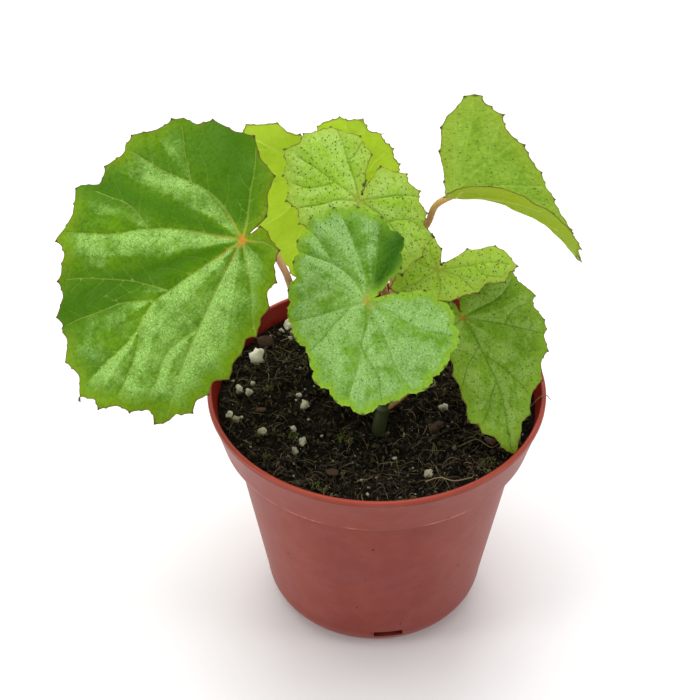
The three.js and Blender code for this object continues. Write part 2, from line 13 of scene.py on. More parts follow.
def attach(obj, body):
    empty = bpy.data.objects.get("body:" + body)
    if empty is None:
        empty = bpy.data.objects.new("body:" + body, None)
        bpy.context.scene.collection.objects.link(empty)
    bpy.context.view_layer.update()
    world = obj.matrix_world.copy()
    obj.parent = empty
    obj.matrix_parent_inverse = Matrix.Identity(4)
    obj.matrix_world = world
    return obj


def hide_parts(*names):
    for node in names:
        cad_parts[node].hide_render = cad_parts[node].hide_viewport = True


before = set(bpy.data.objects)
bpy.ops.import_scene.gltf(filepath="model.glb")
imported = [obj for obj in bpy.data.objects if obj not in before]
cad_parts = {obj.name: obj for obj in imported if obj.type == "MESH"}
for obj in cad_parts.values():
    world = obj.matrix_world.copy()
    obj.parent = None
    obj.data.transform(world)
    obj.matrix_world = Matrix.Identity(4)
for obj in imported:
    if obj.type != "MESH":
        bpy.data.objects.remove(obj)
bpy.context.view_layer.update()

MM = 0.001

# Camera
IMAGE_PIXELS = 700
FOCAL_PIXELS = 1521.7
SENSOR_MM = 36
CAMERA_PLACE = (0, -340.6, 375.1)
CAMERA_YAW = -1.318
CAMERA_PITCH = 39.562

# Pot
POT_HEIGHT = 81
RIM_RADIUS = 50
LIP_HEIGHT = 1.8
LIP_REACH = 0.5
WALL = 1.3
FLOOR = 1.8
COLLAR_HEIGHT = 14
COLLAR_FOOT = POT_HEIGHT - COLLAR_HEIGHT
COLLAR_FOOT_RADIUS = 46.7
BODY_TOP_RADIUS = 43.3
BODY_FOOT_RADIUS = 34.4
CORNER_RADIUS = 10
FLAT_RADIUS = BODY_FOOT_RADIUS - CORNER_RADIUS
EDGE_ROUNDING = 0.5
SLOTS = 3
SLOT_WIDTH = 9
SLOT_HEIGHT = 2.6
SLOT_Z = 8
FIRST_SLOT_AZIMUTH = -82
POT_SECTORS = 180
CORNER_STEPS = 14
ROUNDING_STEPS = 4
POT_CREASE = 35
# The lip's orange and the pale collar line among these are painted highlights.
POT_PAINTS = {
    "dark": (126, 46, 36), "light": (134, 54, 40), "purple": (126, 48, 50), "dust": (166, 104, 92),
    "lip_highlight": (172, 66, 40), "collar_highlight": (196, 136, 120), "speck": (44, 26, 22), "inside": (136, 26, 14),
}
# Specks: how far apart, and the share of places without one.
POT_SPECKS = [(4.2, 0.78), (2.3, 0.88)]

# Soil
SOIL_TOP = POT_HEIGHT - 6
SOIL_RELIEF = 1.1
SOIL_WAVES = [
    (0.25, 0.19, 0.16, 0.9), (0.25, 0.19, -0.16, 1.7), (0.3, 0.53, -0.31, 0), (0.2, 0.22, 0.71, 2),
]
SOIL_LEVEL_EDGE = 6
SOIL_RINGS = 90
SOIL_SECTORS = 240
SOIL_SIDE_HEIGHTS = (68.4, 66.6, 50, 30, CORNER_RADIUS + FLOOR)
# Crumbly relief of the surface: height and size.
SOIL_CRUMBLE = [(0.9, 3.4), (0.55, 1.5), (0.3, 0.8)]
GAP = 0.3
FREE_OF_STEM = 2.8
DRY_PATCH = (-27, 19)
DRY_REACH = (13, 10)
# Fewer fibres lie round this place, so the soil is darker there.
FIBRE_SPARSE_MIDDLE = (-10, -3)

CRUMBS = 4600
CRUMB_SIZES = (0.22, 0.9)
CRUMB_WIDTHS = (0.45, 0.9)
CRUMB_HEIGHTS = (0.35, 0.8)
CRUMB_PLACE_SEED = 21
CRUMB_SEED = 22
CRUMB_DENTS = 0.7

# The largest perlite grains as they lie: x, y and radius.
PLACED_GRAINS = [
    (-37, 17, 2.6), (-28, 33, 1.8), (-26, 30, 1.2), (-30, 31, 0.9), (-25, 34, 1), (-27, 27, 0.8),
    (-41, 2, 1.4), (-38, 1, 1.3), (-23, 0, 1), (-43, -9, 1.2), (-41, -11, 1.1), (-33, -16, 1.4),
    (-24, -14, 1), (-21, -21, 1.3), (-23, -24, 1.1), (20, -4, 1.6), (15, -32, 1.4),
]
RANDOM_GRAINS = 12
RANDOM_GRAIN_RADII = (0.8, 1.4)
GRAINS_FROM_WALL = 5
GRAINLESS_CENTRE = 0.25
GRAIN_PLACE_SEED = 11
FINE_GRAINS = 130
FINE_GRAIN_RADII = (0.15, 0.55)
FINE_PLACE_SEED = 31
FINE_SIZE_SEED = 32
GRAIN_SHAPE_SEED = 33
GRAIN_DENTS = 0.58
GRAIN_WIDTHS = (0.7, 1)
GRAIN_HEIGHTS = (0.65, 0.9)

# Flat chips of bark: centre, half sizes and turns.
CHIPS = [
    ((-34.5, 24, 76.8), (2.6, 1.9, 0.7), (0.5, 0.3, 0.4)),
    ((17.5, -13.7, 76.4), (2.9, 1.2, 0.8), (0.2, 0.1, 0.9)),
    ((33, -19, 76.2), (2.2, 1, 0.6), (0.1, 0.3, 2.2)),
    ((-12, -33, 76.2), (1.8, 1.1, 0.6), (0.3, 0.2, 0.1)),
    ((27, 22, 76.2), (2.4, 1.3, 0.7), (0.2, 0.2, 1.4)),
    ((-34, -7, 76), (1.7, 1, 0.5), (0.2, 0.4, 2.8)),
]
CHIP_SEED = 61

# Tufts of moss: x, y and reach.
TUFTS = [
    (31.6, -28, 3.2), (-33, -16, 2), (-15.5, -37.6, 2.2), (38, 14, 1.6), (-9, -18.5, 3),
    (-24, -17, 1.8), (-32, 2, 1.6), (-31, -26, 1.4),
]
SHOOTS_PER_MM = 22
SHOOT_HEIGHTS = (0.5, 1.2)
SHOOT_RADII = (0.16, 0.2, 0.05)
MOSS_SEED = 62

# Fibres that stand out: the points they pass, half thickness and tint.
PLACED_FIBRES = [
    (
        [
            (13.4, 4.6, 77), (14.6, 6.6, 77.4), (16.8, 6.4, 77.6), (17.5, 4.4, 77.4), (15.8, 3.2, 77),
            (14, 4, 76.6),
        ],
        0.22, 0.9,
    ),
    ([(41, -8, 76.6), (45, -7, 78.8), (47.4, -5.8, 81.3), (49.6, -4.8, 81.6), (51, -5.5, 80.4)], 0.12, 0.7),
    ([(14, -36.5, 76.6), (18, -35.4, 77.2), (22, -36.4, 77), (27, -34.6, 76.6)], 0.16, 1),
    ([(-30, 24, 77), (-22, 27, 77.8), (-15, 24, 77.6), (-9, 26, 76.8)], 0.1, 0.9),
    ([(24, -22, 76.8), (29, -20, 77.6), (33, -23, 77.4), (36, -20, 76.8)], 0.1, 0.8),
]
PLACED_FIBRE_STEPS = 24
FIBRES = 2600
FIBRE_LENGTHS = (1.2, 7)
FIBRE_BENDS = (-1.3, 1.3)
FIBRE_WANDER = 0.5
FIBRE_THICKNESSES = (0.055, 0.13)
FIBRE_TAPER = (0.6, 1, 1, 1, 1, 1, 0.8, 0.4)
FIBRE_PLACE_SEED = 41
FIBRE_SEED = 42
FIBRE_WANDER_SEED = 46

# Rough materials: dark and light colour, roughness, size of the grain and depth of its bumps.
GRAIN_MATERIALS = {
    "peat_crumbs": ((5, 5, 3), (106, 98, 72), 0.92, 0.4, 0.3),
    "perlite": ((140, 136, 102), (240, 236, 218), 0.85, 0.45, 0.25),
    "bark": ((38, 27, 21), (102, 78, 62), 0.85, 0.6, 0.3),
    "moss": ((40, 48, 16), (108, 116, 50), 0.7, 0.3, 0.1),
    "fibres": ((30, 25, 17), (156, 136, 102), 0.85, 0.4, 0.1),
    "bristles": ((84, 108, 36), (126, 146, 66), 0.6, 0.2, 0.05),
}

# Stem and petioles
STEM_LINE = [(0.9, -13.5, 62), (0.9, -13.5, 75), (2.4, -11, 85), (2.5, -7.5, 93), (2.2, -3.5, 101)]
STEM_RADII = (2.2, 1.6)
STEM_STEPS = 90
STEM_SIDES = 24
STEM_TIP_ROUNDING = 0.07
STEM_TIP_FLAT = 0.35
NODE_SWELLING = 0.22
NODE_LENGTH = 0.02
PETIOLE_RADII = (1.25, 0.9)
PETIOLE_STEPS = 60
PETIOLE_SIDES = 18
PETIOLE_SET_OFF = 3.6
PETIOLE_RISE = 2.2
# Swellings: place and height, and reach as a share of the length. Lumps: size, and height as a share.
PETIOLE_SWELLINGS = [(0, 0.2, 0.06), (1, 0.12, 0.05)]
PETIOLE_LUMPS = (2.5, 0.06)
STEM_LUMPS = (1.6, 0.05)
# Colours of the stalks at foot, middle and head.
# The stem's own dark green is made darker still at its foot and middle as painted shade from the leaves
# above.
STEM_PAINTS_WITH_SHADE = [(36, 38, 18), (52, 62, 26), (100, 118, 50)]
PETIOLE_PAINTS = [(150, 120, 62), (190, 136, 86), (214, 166, 102)]

# Leaves
BLADE_THICKNESS = 0.46
BLADE_EDGE_THICKNESS = 0.24
BLADE_EDGE_REACH = 0.7
BLADE_CREASE = 55
# Veins are grooves above and ribs below, weaker with each millimetre from the hub and near the edge.
GROOVE_DEPTH = 0.16
RIB_HEIGHT = 0.34
VEIN_SHARPNESS = 1.5
VEIN_STRENGTHS = (0.6, 1.4)
VEIN_FADING = 0.012
VEIN_END = (0.2, 1.5)
LOWER_FACE_SHIFT = 20
GRID = 0.52
EDGE_STEP = 0.34
SURFACE_STEPS = 12
RUFFLE_RADIUS = 30
# Relief: each has a height or a reach, and noise has a size as well.
CUSHION_REACH = 3.2
CUSHION_LEVEL = 0.45
RELIEF_START = (1.5, 9)
PLEAT_DEGREES = 9
PLEAT_LENGTH = 22
PLEAT_START = (6, 24)
UNEVENNESS = 0.4
UNEVENNESS_SIZE = 9
PUCKERS = 0.22
PUCKER_SIZE = 3.6
MARGIN_WAVES = 0.4
MARGIN_WAVE_SIZE = 3.2
MARGIN_REACH = 2.5
EDGE_SAMPLES = 180
TOOTH_SPREAD = 0.5
TOOTH_TIPS = (0.1, 0.75)
NOTCH = -0.6
FULL_TEETH_RADIUS = 15
NEEDLES = (0.15, 0.7)
NEEDLE_SHARPNESS = 8
DENTICLES = (0.3, 0.6)
DENTICLE_PLACES = (0.3, 0.6)
DENTICLE_REACH = 0.5
DENTICLE_MARK = 0.5
FULL_DENTICLE_FLANK = 4
SPUR_REACH = 3
STEEPEST_EDGE = 3
LEAN = 0.35
EDGE_WOBBLE = 0.12
TOOTH_SEED = 51
VEIN_WIDTHS = [(0.5, 0.2), (0.32, 0.2), (0.24, 0.2)]
VEIN_FADE = [0, 0, 0.65]
QUILT_STEEPNESS = [1, 1.1, 1.3]
QUILT_START = [0, 0.4, 2.4]
# How strongly main veins and forks set which side of them gets painted sheen.
SHEEN_SIDE_WEIGHTS = [1, 0.5]
BRANCH_LENGTHS = (5, 12)
BRANCH_ANGLES = (50, 26)
BRANCH_CLEARANCE = 1.2
SHORTEST_BRANCH = 5
EVERY_WAY = [(0, 1000)]
SECTOR_START = (1, 7)
ARMS_START = (1, 4)
# How far the painted sheen on one side of a vein reaches.
SHEEN_FROM_VEIN = 7
DOT_REACH = 0.36
BRISTLE_HEIGHTS = (0.7, 1.15)
BRISTLE_RADII = (0.22, 0.17, 0.06, 0.02)
BRISTLE_PLACE_SEED = 3
BRISTLE_SEED = 7
BRISTLE_TINT_SEED = 12

# Surroundings
FLOOR_SIZE = 6000
SKY_STRENGTH = 0.48
LIGHTS_AIM = (0, 0, 0.1)
# Soft lights, in metres: place, width and height, and watts.
LIGHTS = {
    "top": ((-0.1, 0.25, 1.2), (1.3, 1.1), 11.5),
    "left": ((-0.9, -0.35, 0.35), (0.3, 0.7), 3.5),
    "right": ((0.9, -0.25, 0.35), (0.3, 0.7), 2.5),
    "back": ((0, 1, 0.5), (0.8, 0.4), 3),
}

# What the leaves' looks share; a leaf's own values go over these.
LOOK = {
    # The darkest green is painted shade, for sectors that face away from the light.
    "deep": (100, 146, 12), "fresh": (128, 172, 26), "bare": (74, 124, 6),
    "band": (158, 190, 34), "pale_edge": 0.5, "band_width": 4,
    # The sheen colour is painted sheen over silvery grains, stronger on one side of each vein.
    "sheen": (174, 214, 120), "silver_and_sheen": 0.5, "one_sided_sheen": 0.1, "patches": (0.4, 0.6), "margin": 1.5,
    "grain": 0.45, "net": 0.2, "dots": 0.8, "dot_spacing": 1.8, "dot": (80, 112, 24),
    "vein": (120, 158, 34), "vein_strength": 0.5, "hub": (206, 140, 60), "star": 0.5, "star_reach": 4,
    "rim": 0.9, "rim_width": 0.45, "rim_colour": (120, 74, 48), "tip": 0.9, "tip_colour": (66, 44, 40),
    "back": (166, 190, 56), "back_vein": (200, 204, 120), "pimples": 0.6, "gloss": 0.1, "through": 0.28,
    "quilt": 0.6, "pleat": 0.5,
}
YOUNG_LOOK = {
    "deep": (170, 198, 70), "fresh": (196, 220, 106), "band": (200, 218, 116), "sheen": (210, 226, 130),
    "silver_and_sheen": 0.3, "dots": 0, "vein": (204, 220, 130), "vein_strength": 0.4, "star": 0.3,
    "back": (186, 210, 84), "back_vein": (206, 222, 124), "through": 0.45,
}

# The blades' forms are the part's own. veins: points each main vein passes on its way from the petiole.
# forks: points of the veins that leave these. spurs: angle and height of the largest teeth.
# point: above 1 the teeth are sharp with hollow flanks, below 1 they are round.
LEAVES = [
    {
        "name": "left", "slot": "leaf_dark", "junction": (-35.9, -12, 140.8), "turn": (-150, -32, -32),
        "bend": 0.3, "curl": (-1.1, -0.2), "ruffle": (0.8, 7, 0.5),
        "teeth": 13, "tooth_depth": 2.2, "point": 1.25,
        "outline": [
            (-174, 9), (-160, 16), (-145, 23.5), (-130, 30.5), (-116, 35), (-100, 39), (-85, 43.3),
            (-70, 45), (-55, 50.3), (-38, 51.8), (-20, 58), (-8, 61), (4, 60), (15, 54.5), (24, 52.8),
            (36, 39.8), (50, 28), (62, 23), (78, 16), (100, 12), (125, 9), (150, 7.5), (172, 5.5), (180, 2.5),
        ],
        "spurs": [(-105, 1.5), (-81, 1), (-61, 1.8), (-45, 0.8), (-18, 1.4), (-2, 0.8), (22, 1.8), (41, 1.4)],
        "foot": (0.55, 175),
        "route": [(-9.5, -6.5, 97), (-21.3, -7, 113.5), (-25.8, -5, 126), (-30.5, -6, 136)],
        "veins": [
            [(-6, -5), (-13, -11), (-19, -17)], [(-2, -14), (4, -31), (7, -41)],
            [(11, -14), (19, -22), (26, -27), (35, -36)], [(13, -2), (24, -4), (30, -5), (40, -2), (58, -2)],
            [(20, 7), (32, 12), (49, 20)], [(8, 12), (14, 20), (18, 27)], [(-4, 5), (-5, 10)],
        ],
        "forks": [
            [(0, -22), (-5, -31), (-8, -36)], [(17, -21), (17, -29), (22, -40)],
            [(24, -4), (30, -13), (37, -21), (44, -27)], [(29, -5), (38, -12), (47, -16), (54, -19)],
            [(35, -3), (45, 4), (52, 7)], [(25, 9), (34, 8), (44, 12)],
        ],
        # Sectors darkened as painted shade where the blade faces away from the light, then sectors given more
        # painted sheen.
        "bare": [(-125, 26), (-64, 7), (-24, 8)], "painted_sheen": [(20, 18), (52, 22)],
        "arms": [(-92, 20), (-50, 20), (-8, 18), (20, 14)],
        "look": {
            # The third colour is painted shade.
            "deep": (80, 128, 4), "fresh": (110, 158, 10), "bare": (76, 126, 4), "band": (142, 172, 22),
            "sheen": (188, 232, 132), "silver_and_sheen": 0.95, "one_sided_sheen": 0.2, "patches": (0.34, 0.82), "margin": 6,
            "vein": (166, 194, 84), "vein_strength": 0.6, "hub": (232, 146, 56), "star": 0.75,
            "star_reach": 15, "dots": 0.6, "dot_spacing": 2.6, "rim_width": 0.55,
            "quilt": 1.3, "pleat": 0.9, "gloss": 0.14,
        },
    },
    {
        "name": "top", "slot": "leaf_light", "junction": (-5.6, 14, 136.2), "turn": (-112, -35, -20),
        "bend": 0.3, "curl": (-0.3, -0.6), "ruffle": (0.7, 6, 1),
        "teeth": 11, "tooth_depth": 1.3, "point": 1.15,
        "outline": [
            (-174, 14.5), (-164, 18.5), (-150, 22), (-134, 24), (-120, 25), (-105, 25), (-90, 21.5),
            (-70, 19), (-45, 17), (-20, 17.5), (0, 19), (20, 20.5), (45, 22.5), (60, 23.5), (78, 22.8),
            (92, 20.2), (110, 18), (125, 16.5), (140, 15.5), (152, 14), (170, 11), (180, 1.8),
        ],
        "spurs": [(-135, 0.9), (-108, 0.8), (50, 0.8), (84, 0.9)],
        "foot": (0.88, 165), "route": [(-4, 3.5, 109), (-5.5, 12, 122), (-5.2, 17, 131)],
        "veins": [
            [(-8, -5), (-15, -10), (-20, -14)], [(-2, -5), (-4, -11), (-7, -21)],
            [(2, -6), (4, -9), (8, -16)], [(8, 0), (17, 1)],
            [(1, 5), (5, 13), (10, 19)], [(-3, 5), (-6, 11), (-8, 17)],
        ],
        "forks": [
            [(-10, -7), (-14, -5), (-19, -5)], [(-3, -8), (1, -14), (1, -20)], [(3, 9), (0, 15), (1, 20)],
        ],
        "look": {
            "deep": (160, 202, 58), "fresh": (184, 224, 84), "band": (188, 208, 96), "sheen": (206, 232, 142),
            "silver_and_sheen": 0.6, "vein": (116, 146, 34), "vein_strength": 0.45,
            "hub": (216, 204, 80), "star": 0.3, "star_reach": 6, "dots": 0.85, "dot_spacing": 1.5,
        },
    },
    {
        "name": "front", "slot": "leaf_bright", "junction": (-2.9, -14, 122.5), "turn": (-113, -42, -12),
        "bend": 0.5, "curl": (-0.4, -0.4), "ruffle": (0.8, 6, 0),
        "teeth": 12, "tooth_depth": 1.3, "point": 0.6,
        "outline": [
            (-175, 22.5), (-165, 25), (-150, 27.5), (-135, 28.5), (-120, 26.5), (-105, 23.3),
            (-90, 21.5), (-75, 21.8), (-60, 22.3), (-45, 21.5), (-30, 21.5), (-18, 25.3), (-8, 26.5),
            (2, 28.7), (14, 30), (22, 29.4), (31, 28), (45, 28.2), (60, 28), (75, 27.4), (88, 25.8),
            (100, 23), (110, 19.5), (118, 15), (126, 4), (134, 1.8), (144, 5), (155, 13), (170, 20),
        ],
        "spurs": [],
        "foot": (0.755, 225), "route": [(-1.3, -9.5, 106), (-1.8, -9.5, 116)],
        "veins": [
            [(-9, -4), (-14, -8), (-21, -14)], [(-5, -6), (-7, -11), (-8, -23)],
            [(4, -6), (9, -14), (12, -19)], [(5, 2), (12, 2), (19, 3), (27, 3)],
            [(8, 7), (16, 14), (20, 19)], [(1, 7), (3, 15), (2, 25)], [(-12, -1), (-21, -3)],
        ],
        "forks": [
            [(-7, -12), (-12, -17), (-15, -22)], [(3, -4), (10, -7), (18, -11)], [(12, 2), (19, 9), (25, 12)],
        ],
        # A sector darkened as painted shade, where the cupped upper lobe faces away from the light.
        "bare": [(168, 22)],
        "look": {
            # The third colour is painted shade.
            "deep": (104, 156, 28), "fresh": (128, 180, 48), "bare": (50, 104, 2),
            "band": (164, 206, 66), "pale_edge": 0.75, "band_width": 1.8,
            "sheen": (186, 226, 150), "silver_and_sheen": 0.9, "patches": (0.27, 0.6), "margin": 1,
            "vein": (138, 180, 66), "vein_strength": 0.45, "hub": (206, 168, 60), "star_reach": 5,
            "dots": 0.7, "dot_spacing": 2.2, "rim": 0.25, "rim_colour": (178, 190, 60),
            "quilt": 0.9, "pleat": 0.9, "gloss": 0.12,
        },
    },
    {
        "name": "right_middle", "slot": "leaf_light", "junction": (17.1, 10, 115.5), "turn": (-109, -22, -9),
        "bend": 0.3, "curl": (0, 0), "ruffle": (0.6, 5, 0.4),
        "teeth": 8, "tooth_depth": 1.1, "point": 1.2,
        "outline": [
            (-175, 5), (-165, 8.5), (-150, 12.5), (-135, 10.5), (-110, 8.5), (-80, 11), (-40, 14.5),
            (0, 11.5), (30, 10), (60, 11.5), (85, 14), (98, 18.3), (108, 21), (117, 22), (126, 21.2),
            (136, 18.3), (146, 11), (155, 3.5), (166, 1.5), (178, 3),
        ],
        "spurs": [(110, 0.8), (128, 0.6)],
        "foot": (0.7, 15), "route": [(11.5, 0, 102), (15.8, 8, 109.5)],
        "veins": [
            [(-4, -3), (-9, -6)], [(0, -4), (-1, -8)], [(5, -4), (9, -8)],
            [(5, 2), (10, 3)], [(0, 6), (3, 12)], [(-4, 7), (-8, 14), (-9, 19)],
        ],
        "forks": [[(-5, 9), (-3, 13), (-4, 18)]],
        "look": {
            # These greens are lighter than the top leaf's as painted light, to offset the shade that falls on
            # this leaf.
            "deep": (172, 212, 62), "fresh": (196, 232, 88), "band": (190, 210, 90), "sheen": (204, 230, 134),
            "silver_and_sheen": 0.4, "vein": (116, 150, 40), "vein_strength": 0.3,
            "star": 0.12, "dots": 0.85, "dot_spacing": 1.5,
        },
    },
    {
        "name": "right_low", "slot": "leaf_light", "junction": (24.1, 0, 106.1), "turn": (-66, -35, -3),
        "bend": 0.4, "curl": (-0.4, -0.4), "ruffle": (0.5, 6, 2),
        "teeth": 10, "tooth_depth": 1.4, "point": 1.2,
        "outline": [
            (-165, 6), (-140, 9), (-110, 10), (-80, 10), (-50, 10.3), (-35, 14), (-22, 21), (-14, 28.5),
            (-6, 34), (0, 37.7), (5, 41), (10, 37.3), (18, 34), (26, 31.2), (38, 29.3), (52, 27.3),
            (65, 26.9), (76, 26.3), (90, 24.6), (104, 24), (118, 22), (132, 16.5), (150, 9), (168, 5),
            (180, 1.8),
        ],
        "spurs": [(-13, 1.1), (5, 1.3), (71, 1), (98, 0.6)],
        "foot": (0.49, 10), "route": [(14.5, -6.5, 92), (21, -0.8, 99.5)],
        "veins": [
            [(-4, -4), (-6, -6)], [(3, -5), (8, -7)], [(6, 2), (12, 3), (19, 4), (26, 4), (40, 3)],
            [(3, 8), (6, 15), (10, 24)], [(-2, 8), (-4, 15), (-8, 20)],
        ],
        "forks": [
            [(12, 3), (20, 10), (28, 14)], [(9, 2), (15, -4), (21, -8)],
            [(20, 4), (27, -1), (31, -4)], [(5, 12), (1, 17), (0, 23)],
        ],
        "look": {
            "deep": (108, 150, 30), "fresh": (132, 174, 46), "band": (148, 182, 58), "sheen": (186, 214, 122),
            "vein": (84, 110, 28), "vein_strength": 0.4, "hub": (204, 116, 56), "star": 0.4,
            "dots": 0.7, "dot_spacing": 1.7, "quilt": 0.8,
        },
    },
    {
        "name": "right_arched", "slot": "leaf_light", "junction": (20.2, 8, 142.6), "turn": (-8, 10, 0),
        "bend": 1.9, "bend_growth": -0.01, "fold": (48, 46), "crease": 2, "curl": (0, 0),
        "ruffle": (0.5, 6, 1.2), "teeth": 10, "tooth_depth": 0.7, "point": 1.05,
        "outline": [
            (-150, 2.8), (-115, 3.5), (-95, 7), (-78, 15), (-62, 22), (-50, 24.5), (-35, 30),
            (-20, 35.2), (-8, 38.3), (0, 41), (8, 32.8), (15, 27), (22, 25.3), (30, 23.8), (42, 22.2),
            (55, 22), (70, 24.3), (82, 28.2), (90, 24.5), (98, 18), (107, 9.5), (117, 5), (130, 3.2),
            (180, 2.2),
        ],
        "spurs": [(0, 1.3), (82, 0.9), (44, 0.5)],
        "foot": (0.92, 50),
        "route": [(3.6, 3, 106), (1.3, 9, 113), (6.5, 16.7, 119), (13.2, 16.5, 126), (15.8, 12.5, 136)],
        "veins": [
            [(2, -7), (4, -14)], [(9, -8), (20, -16)], [(12, 0), (25, 0), (39, 0)],
            [(11, 4), (22, 9)], [(6, 8), (10, 13), (13, 18)], [(2, 9), (3, 16), (4, 26)],
        ],
        "forks": [[(8, 11), (8, 15), (9, 21)], [(14, 0), (23, -7), (29, -11)]],
        "look": {
            "deep": (128, 166, 46), "fresh": (156, 192, 68), "band": (172, 194, 72), "sheen": (184, 212, 100),
            "silver_and_sheen": 0.35, "vein": (168, 202, 86), "vein_strength": 0.35, "hub": (200, 196, 92),
            "dots": 0.75, "dot_spacing": 2.1, "quilt": 0.5, "back": (166, 186, 46),
        },
    },
    {
        "name": "back_left", "slot": "leaf_young", "junction": (-17.2, 36, 129.3), "turn": (-172, -10, 80),
        "bend": 0.3, "curl": (-0.2, -0.2), "ruffle": (0.7, 5, 0.8),
        "teeth": 10, "tooth_depth": 1.3, "point": 1.2,
        "outline": [
            (-165, 9), (-140, 13), (-115, 21), (-95, 29.5), (-80, 36), (-69, 39), (-60, 35.5),
            (-50, 30.5), (-42, 27), (-25, 25.5), (0, 26.5), (20, 28), (40, 31.5), (56, 32.5),
            (68, 27.5), (80, 18.5), (100, 13), (130, 12), (160, 9), (180, 2),
        ],
        "spurs": [(-68, 0.8), (48, 0.9)],
        "foot": (0.78, 95), "route": [(-1.2, 9, 103), (-12.3, 32.5, 123.5)],
        "veins": [
            [(-4, -3), (-8, -6)], [(-2, -8), (-6, -17)], [(5, -13), (12, -34)], [(9, -7), (19, -12)],
            [(11, 2), (24, 6)], [(8, 12), (18, 25)], [(0, 6), (-1, 11)],
        ],
        "forks": [[(7, -18), (3, -27), (1, -33)], [(13, 17), (22, 20), (26, 21)]],
    },
    {
        "name": "back_right", "slot": "leaf_young", "junction": (-7.9, 43, 123.4), "turn": (-19, 65, -80),
        "bend": 0.2, "curl": (-0.2, -0.2), "ruffle": (0.6, 5, 0.2),
        "teeth": 9, "tooth_depth": 1.1, "point": 1.2,
        "outline": [
            (-165, 9), (-140, 13), (-110, 15), (-85, 17), (-60, 19.5), (-45, 22.5), (-28, 24), (-12, 22),
            (0, 20), (20, 17.5), (45, 15.5), (65, 14), (90, 13.5), (120, 13), (150, 11), (168, 8), (180, 2),
        ],
        "spurs": [(-44, 0.6), (-18, 0.7), (10, 0.8)],
        "foot": (0.61, 90), "route": [(4.2, 6, 98), (4, 24, 107), (0, 38.5, 115)],
        "veins": [
            [(-4, -3), (-8, -7)], [(0, -7), (-1, -14)], [(4, -8), (9, -16)], [(10, -4), (20, -11)],
            [(8, 2), (16, 4)], [(2, 6), (5, 11)], [(-3, 5), (-6, 9)],
        ],
        "forks": [[(13, -6), (19, -5), (22, -4)]],
    },
]


def srgb(red, green, blue):
    """A colour given from 0 to 255 as the linear one that the nodes take."""
    channels = [c / 255 for c in (red, green, blue)]
    return (*[c / 12.92 if c <= 0.04045 else ((c + 0.055) / 1.055) ** 2.4 for c in channels], 1)


def draw(index, seed):
    """A repeatable pseudo-random number from 0 to 1, the same as in the part's source."""
    wave = math.sin(index * 12.9898 + seed * 78.233) * 43758.5453
    return wave - math.floor(wave)


def draws(index, seed, count):
    """Several numbers from 0 to 1 for one index, with seeds in a row."""
    return [draw(index, seed + k) for k in range(count)]


def mix(a, b, t):
    return a + (b - a) * t


def smooth(x, low, high):
    t = np.clip((x - low) / (high - low), 0, 1)
    return t * t * (3 - 2 * t)


def polar(distance, turn):
    return distance * math.cos(turn), distance * math.sin(turn)


def circle(count):
    """Points round the unit circle, one in each row."""
    turns = np.linspace(0, 2 * math.pi, count, endpoint=False)
    return np.column_stack([np.cos(turns), np.sin(turns)])


def bearings(points):
    """Each point's direction from the origin, in degrees."""
    return np.degrees(np.arctan2(points[:, 1], points[:, 0]))


def noise_at(points, scale, seed=0):
    """Smooth noise from about -1 to 1 at each point, with features about scale apart."""
    shift = Vector((seed, seed * 3.7, 0))
    return np.array([noise.noise(Vector((*p, 0)[:3]) / scale + shift) for p in points])


def nearest_distance(points, others):
    """How far each point is from the nearest of the others, counted up to 60 mm."""
    nearest = np.full(len(points), 60.0)
    for chunk in np.array_split(others, max(1, len(others) // 150)):
        nearest = np.minimum(nearest, np.linalg.norm(points[:, None] - chunk, axis=2).min(axis=1))
    return nearest


# Meshes

def make_object(name, points, faces, material, values=None, sharp=None):
    """A mesh object from millimetre points, with its float or vector attributes."""
    mesh = bpy.data.meshes.new(name)
    mesh.from_pydata((np.asarray(points) * MM).tolist(), [], [list(map(int, face)) for face in faces])
    mesh.polygons.foreach_set("use_smooth", [True] * len(mesh.polygons))
    for key, value in (values or {}).items():
        value = np.asarray(value, dtype=np.float32)
        if value.ndim == 2:
            mesh.attributes.new(key, "FLOAT_VECTOR", "POINT").data.foreach_set("vector", value.ravel())
        else:
            mesh.attributes.new(key, "FLOAT", "POINT").data.foreach_set("value", value)
    if sharp:
        mesh.set_sharp_from_angle(angle=math.radians(sharp))
    mesh.materials.append(material)
    mesh.update()
    made = bpy.data.objects.new(name, mesh)
    bpy.context.scene.collection.objects.link(made)
    return made


def add_piece(name, points, faces, material, replaced=None, values=None, sharp=None):
    piece = make_object(name, points, faces, material, values, sharp)
    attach(piece, "root")
    if replaced:
        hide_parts(replaced)
    return piece


def join_parts(parts):
    """One list of points, faces and tints from several parts of points, faces and a tint each."""
    points, faces, tints, count = [], [], [], 0
    for part_points, part_faces, tint in parts:
        points.append(part_points)
        faces.extend([[i + count for i in face] for face in part_faces])
        tints.append(np.full(len(part_points), tint))
        count += len(part_points)
    return np.vstack(points), faces, np.concatenate(tints)


def add_parts(name, parts, material):
    """One piece from many small parts."""
    points, faces, tints = join_parts(parts)
    add_piece(name, points, faces, material, values={"tint": tints})


def resampled(line, distances):
    """Points on a line at distances along it, which a function gives from the line's length."""
    walked = np.r_[0, np.cumsum(np.linalg.norm(np.diff(line, axis=0), axis=1))]
    return np.column_stack([np.interp(distances(walked[-1]), walked, column) for column in line.T])


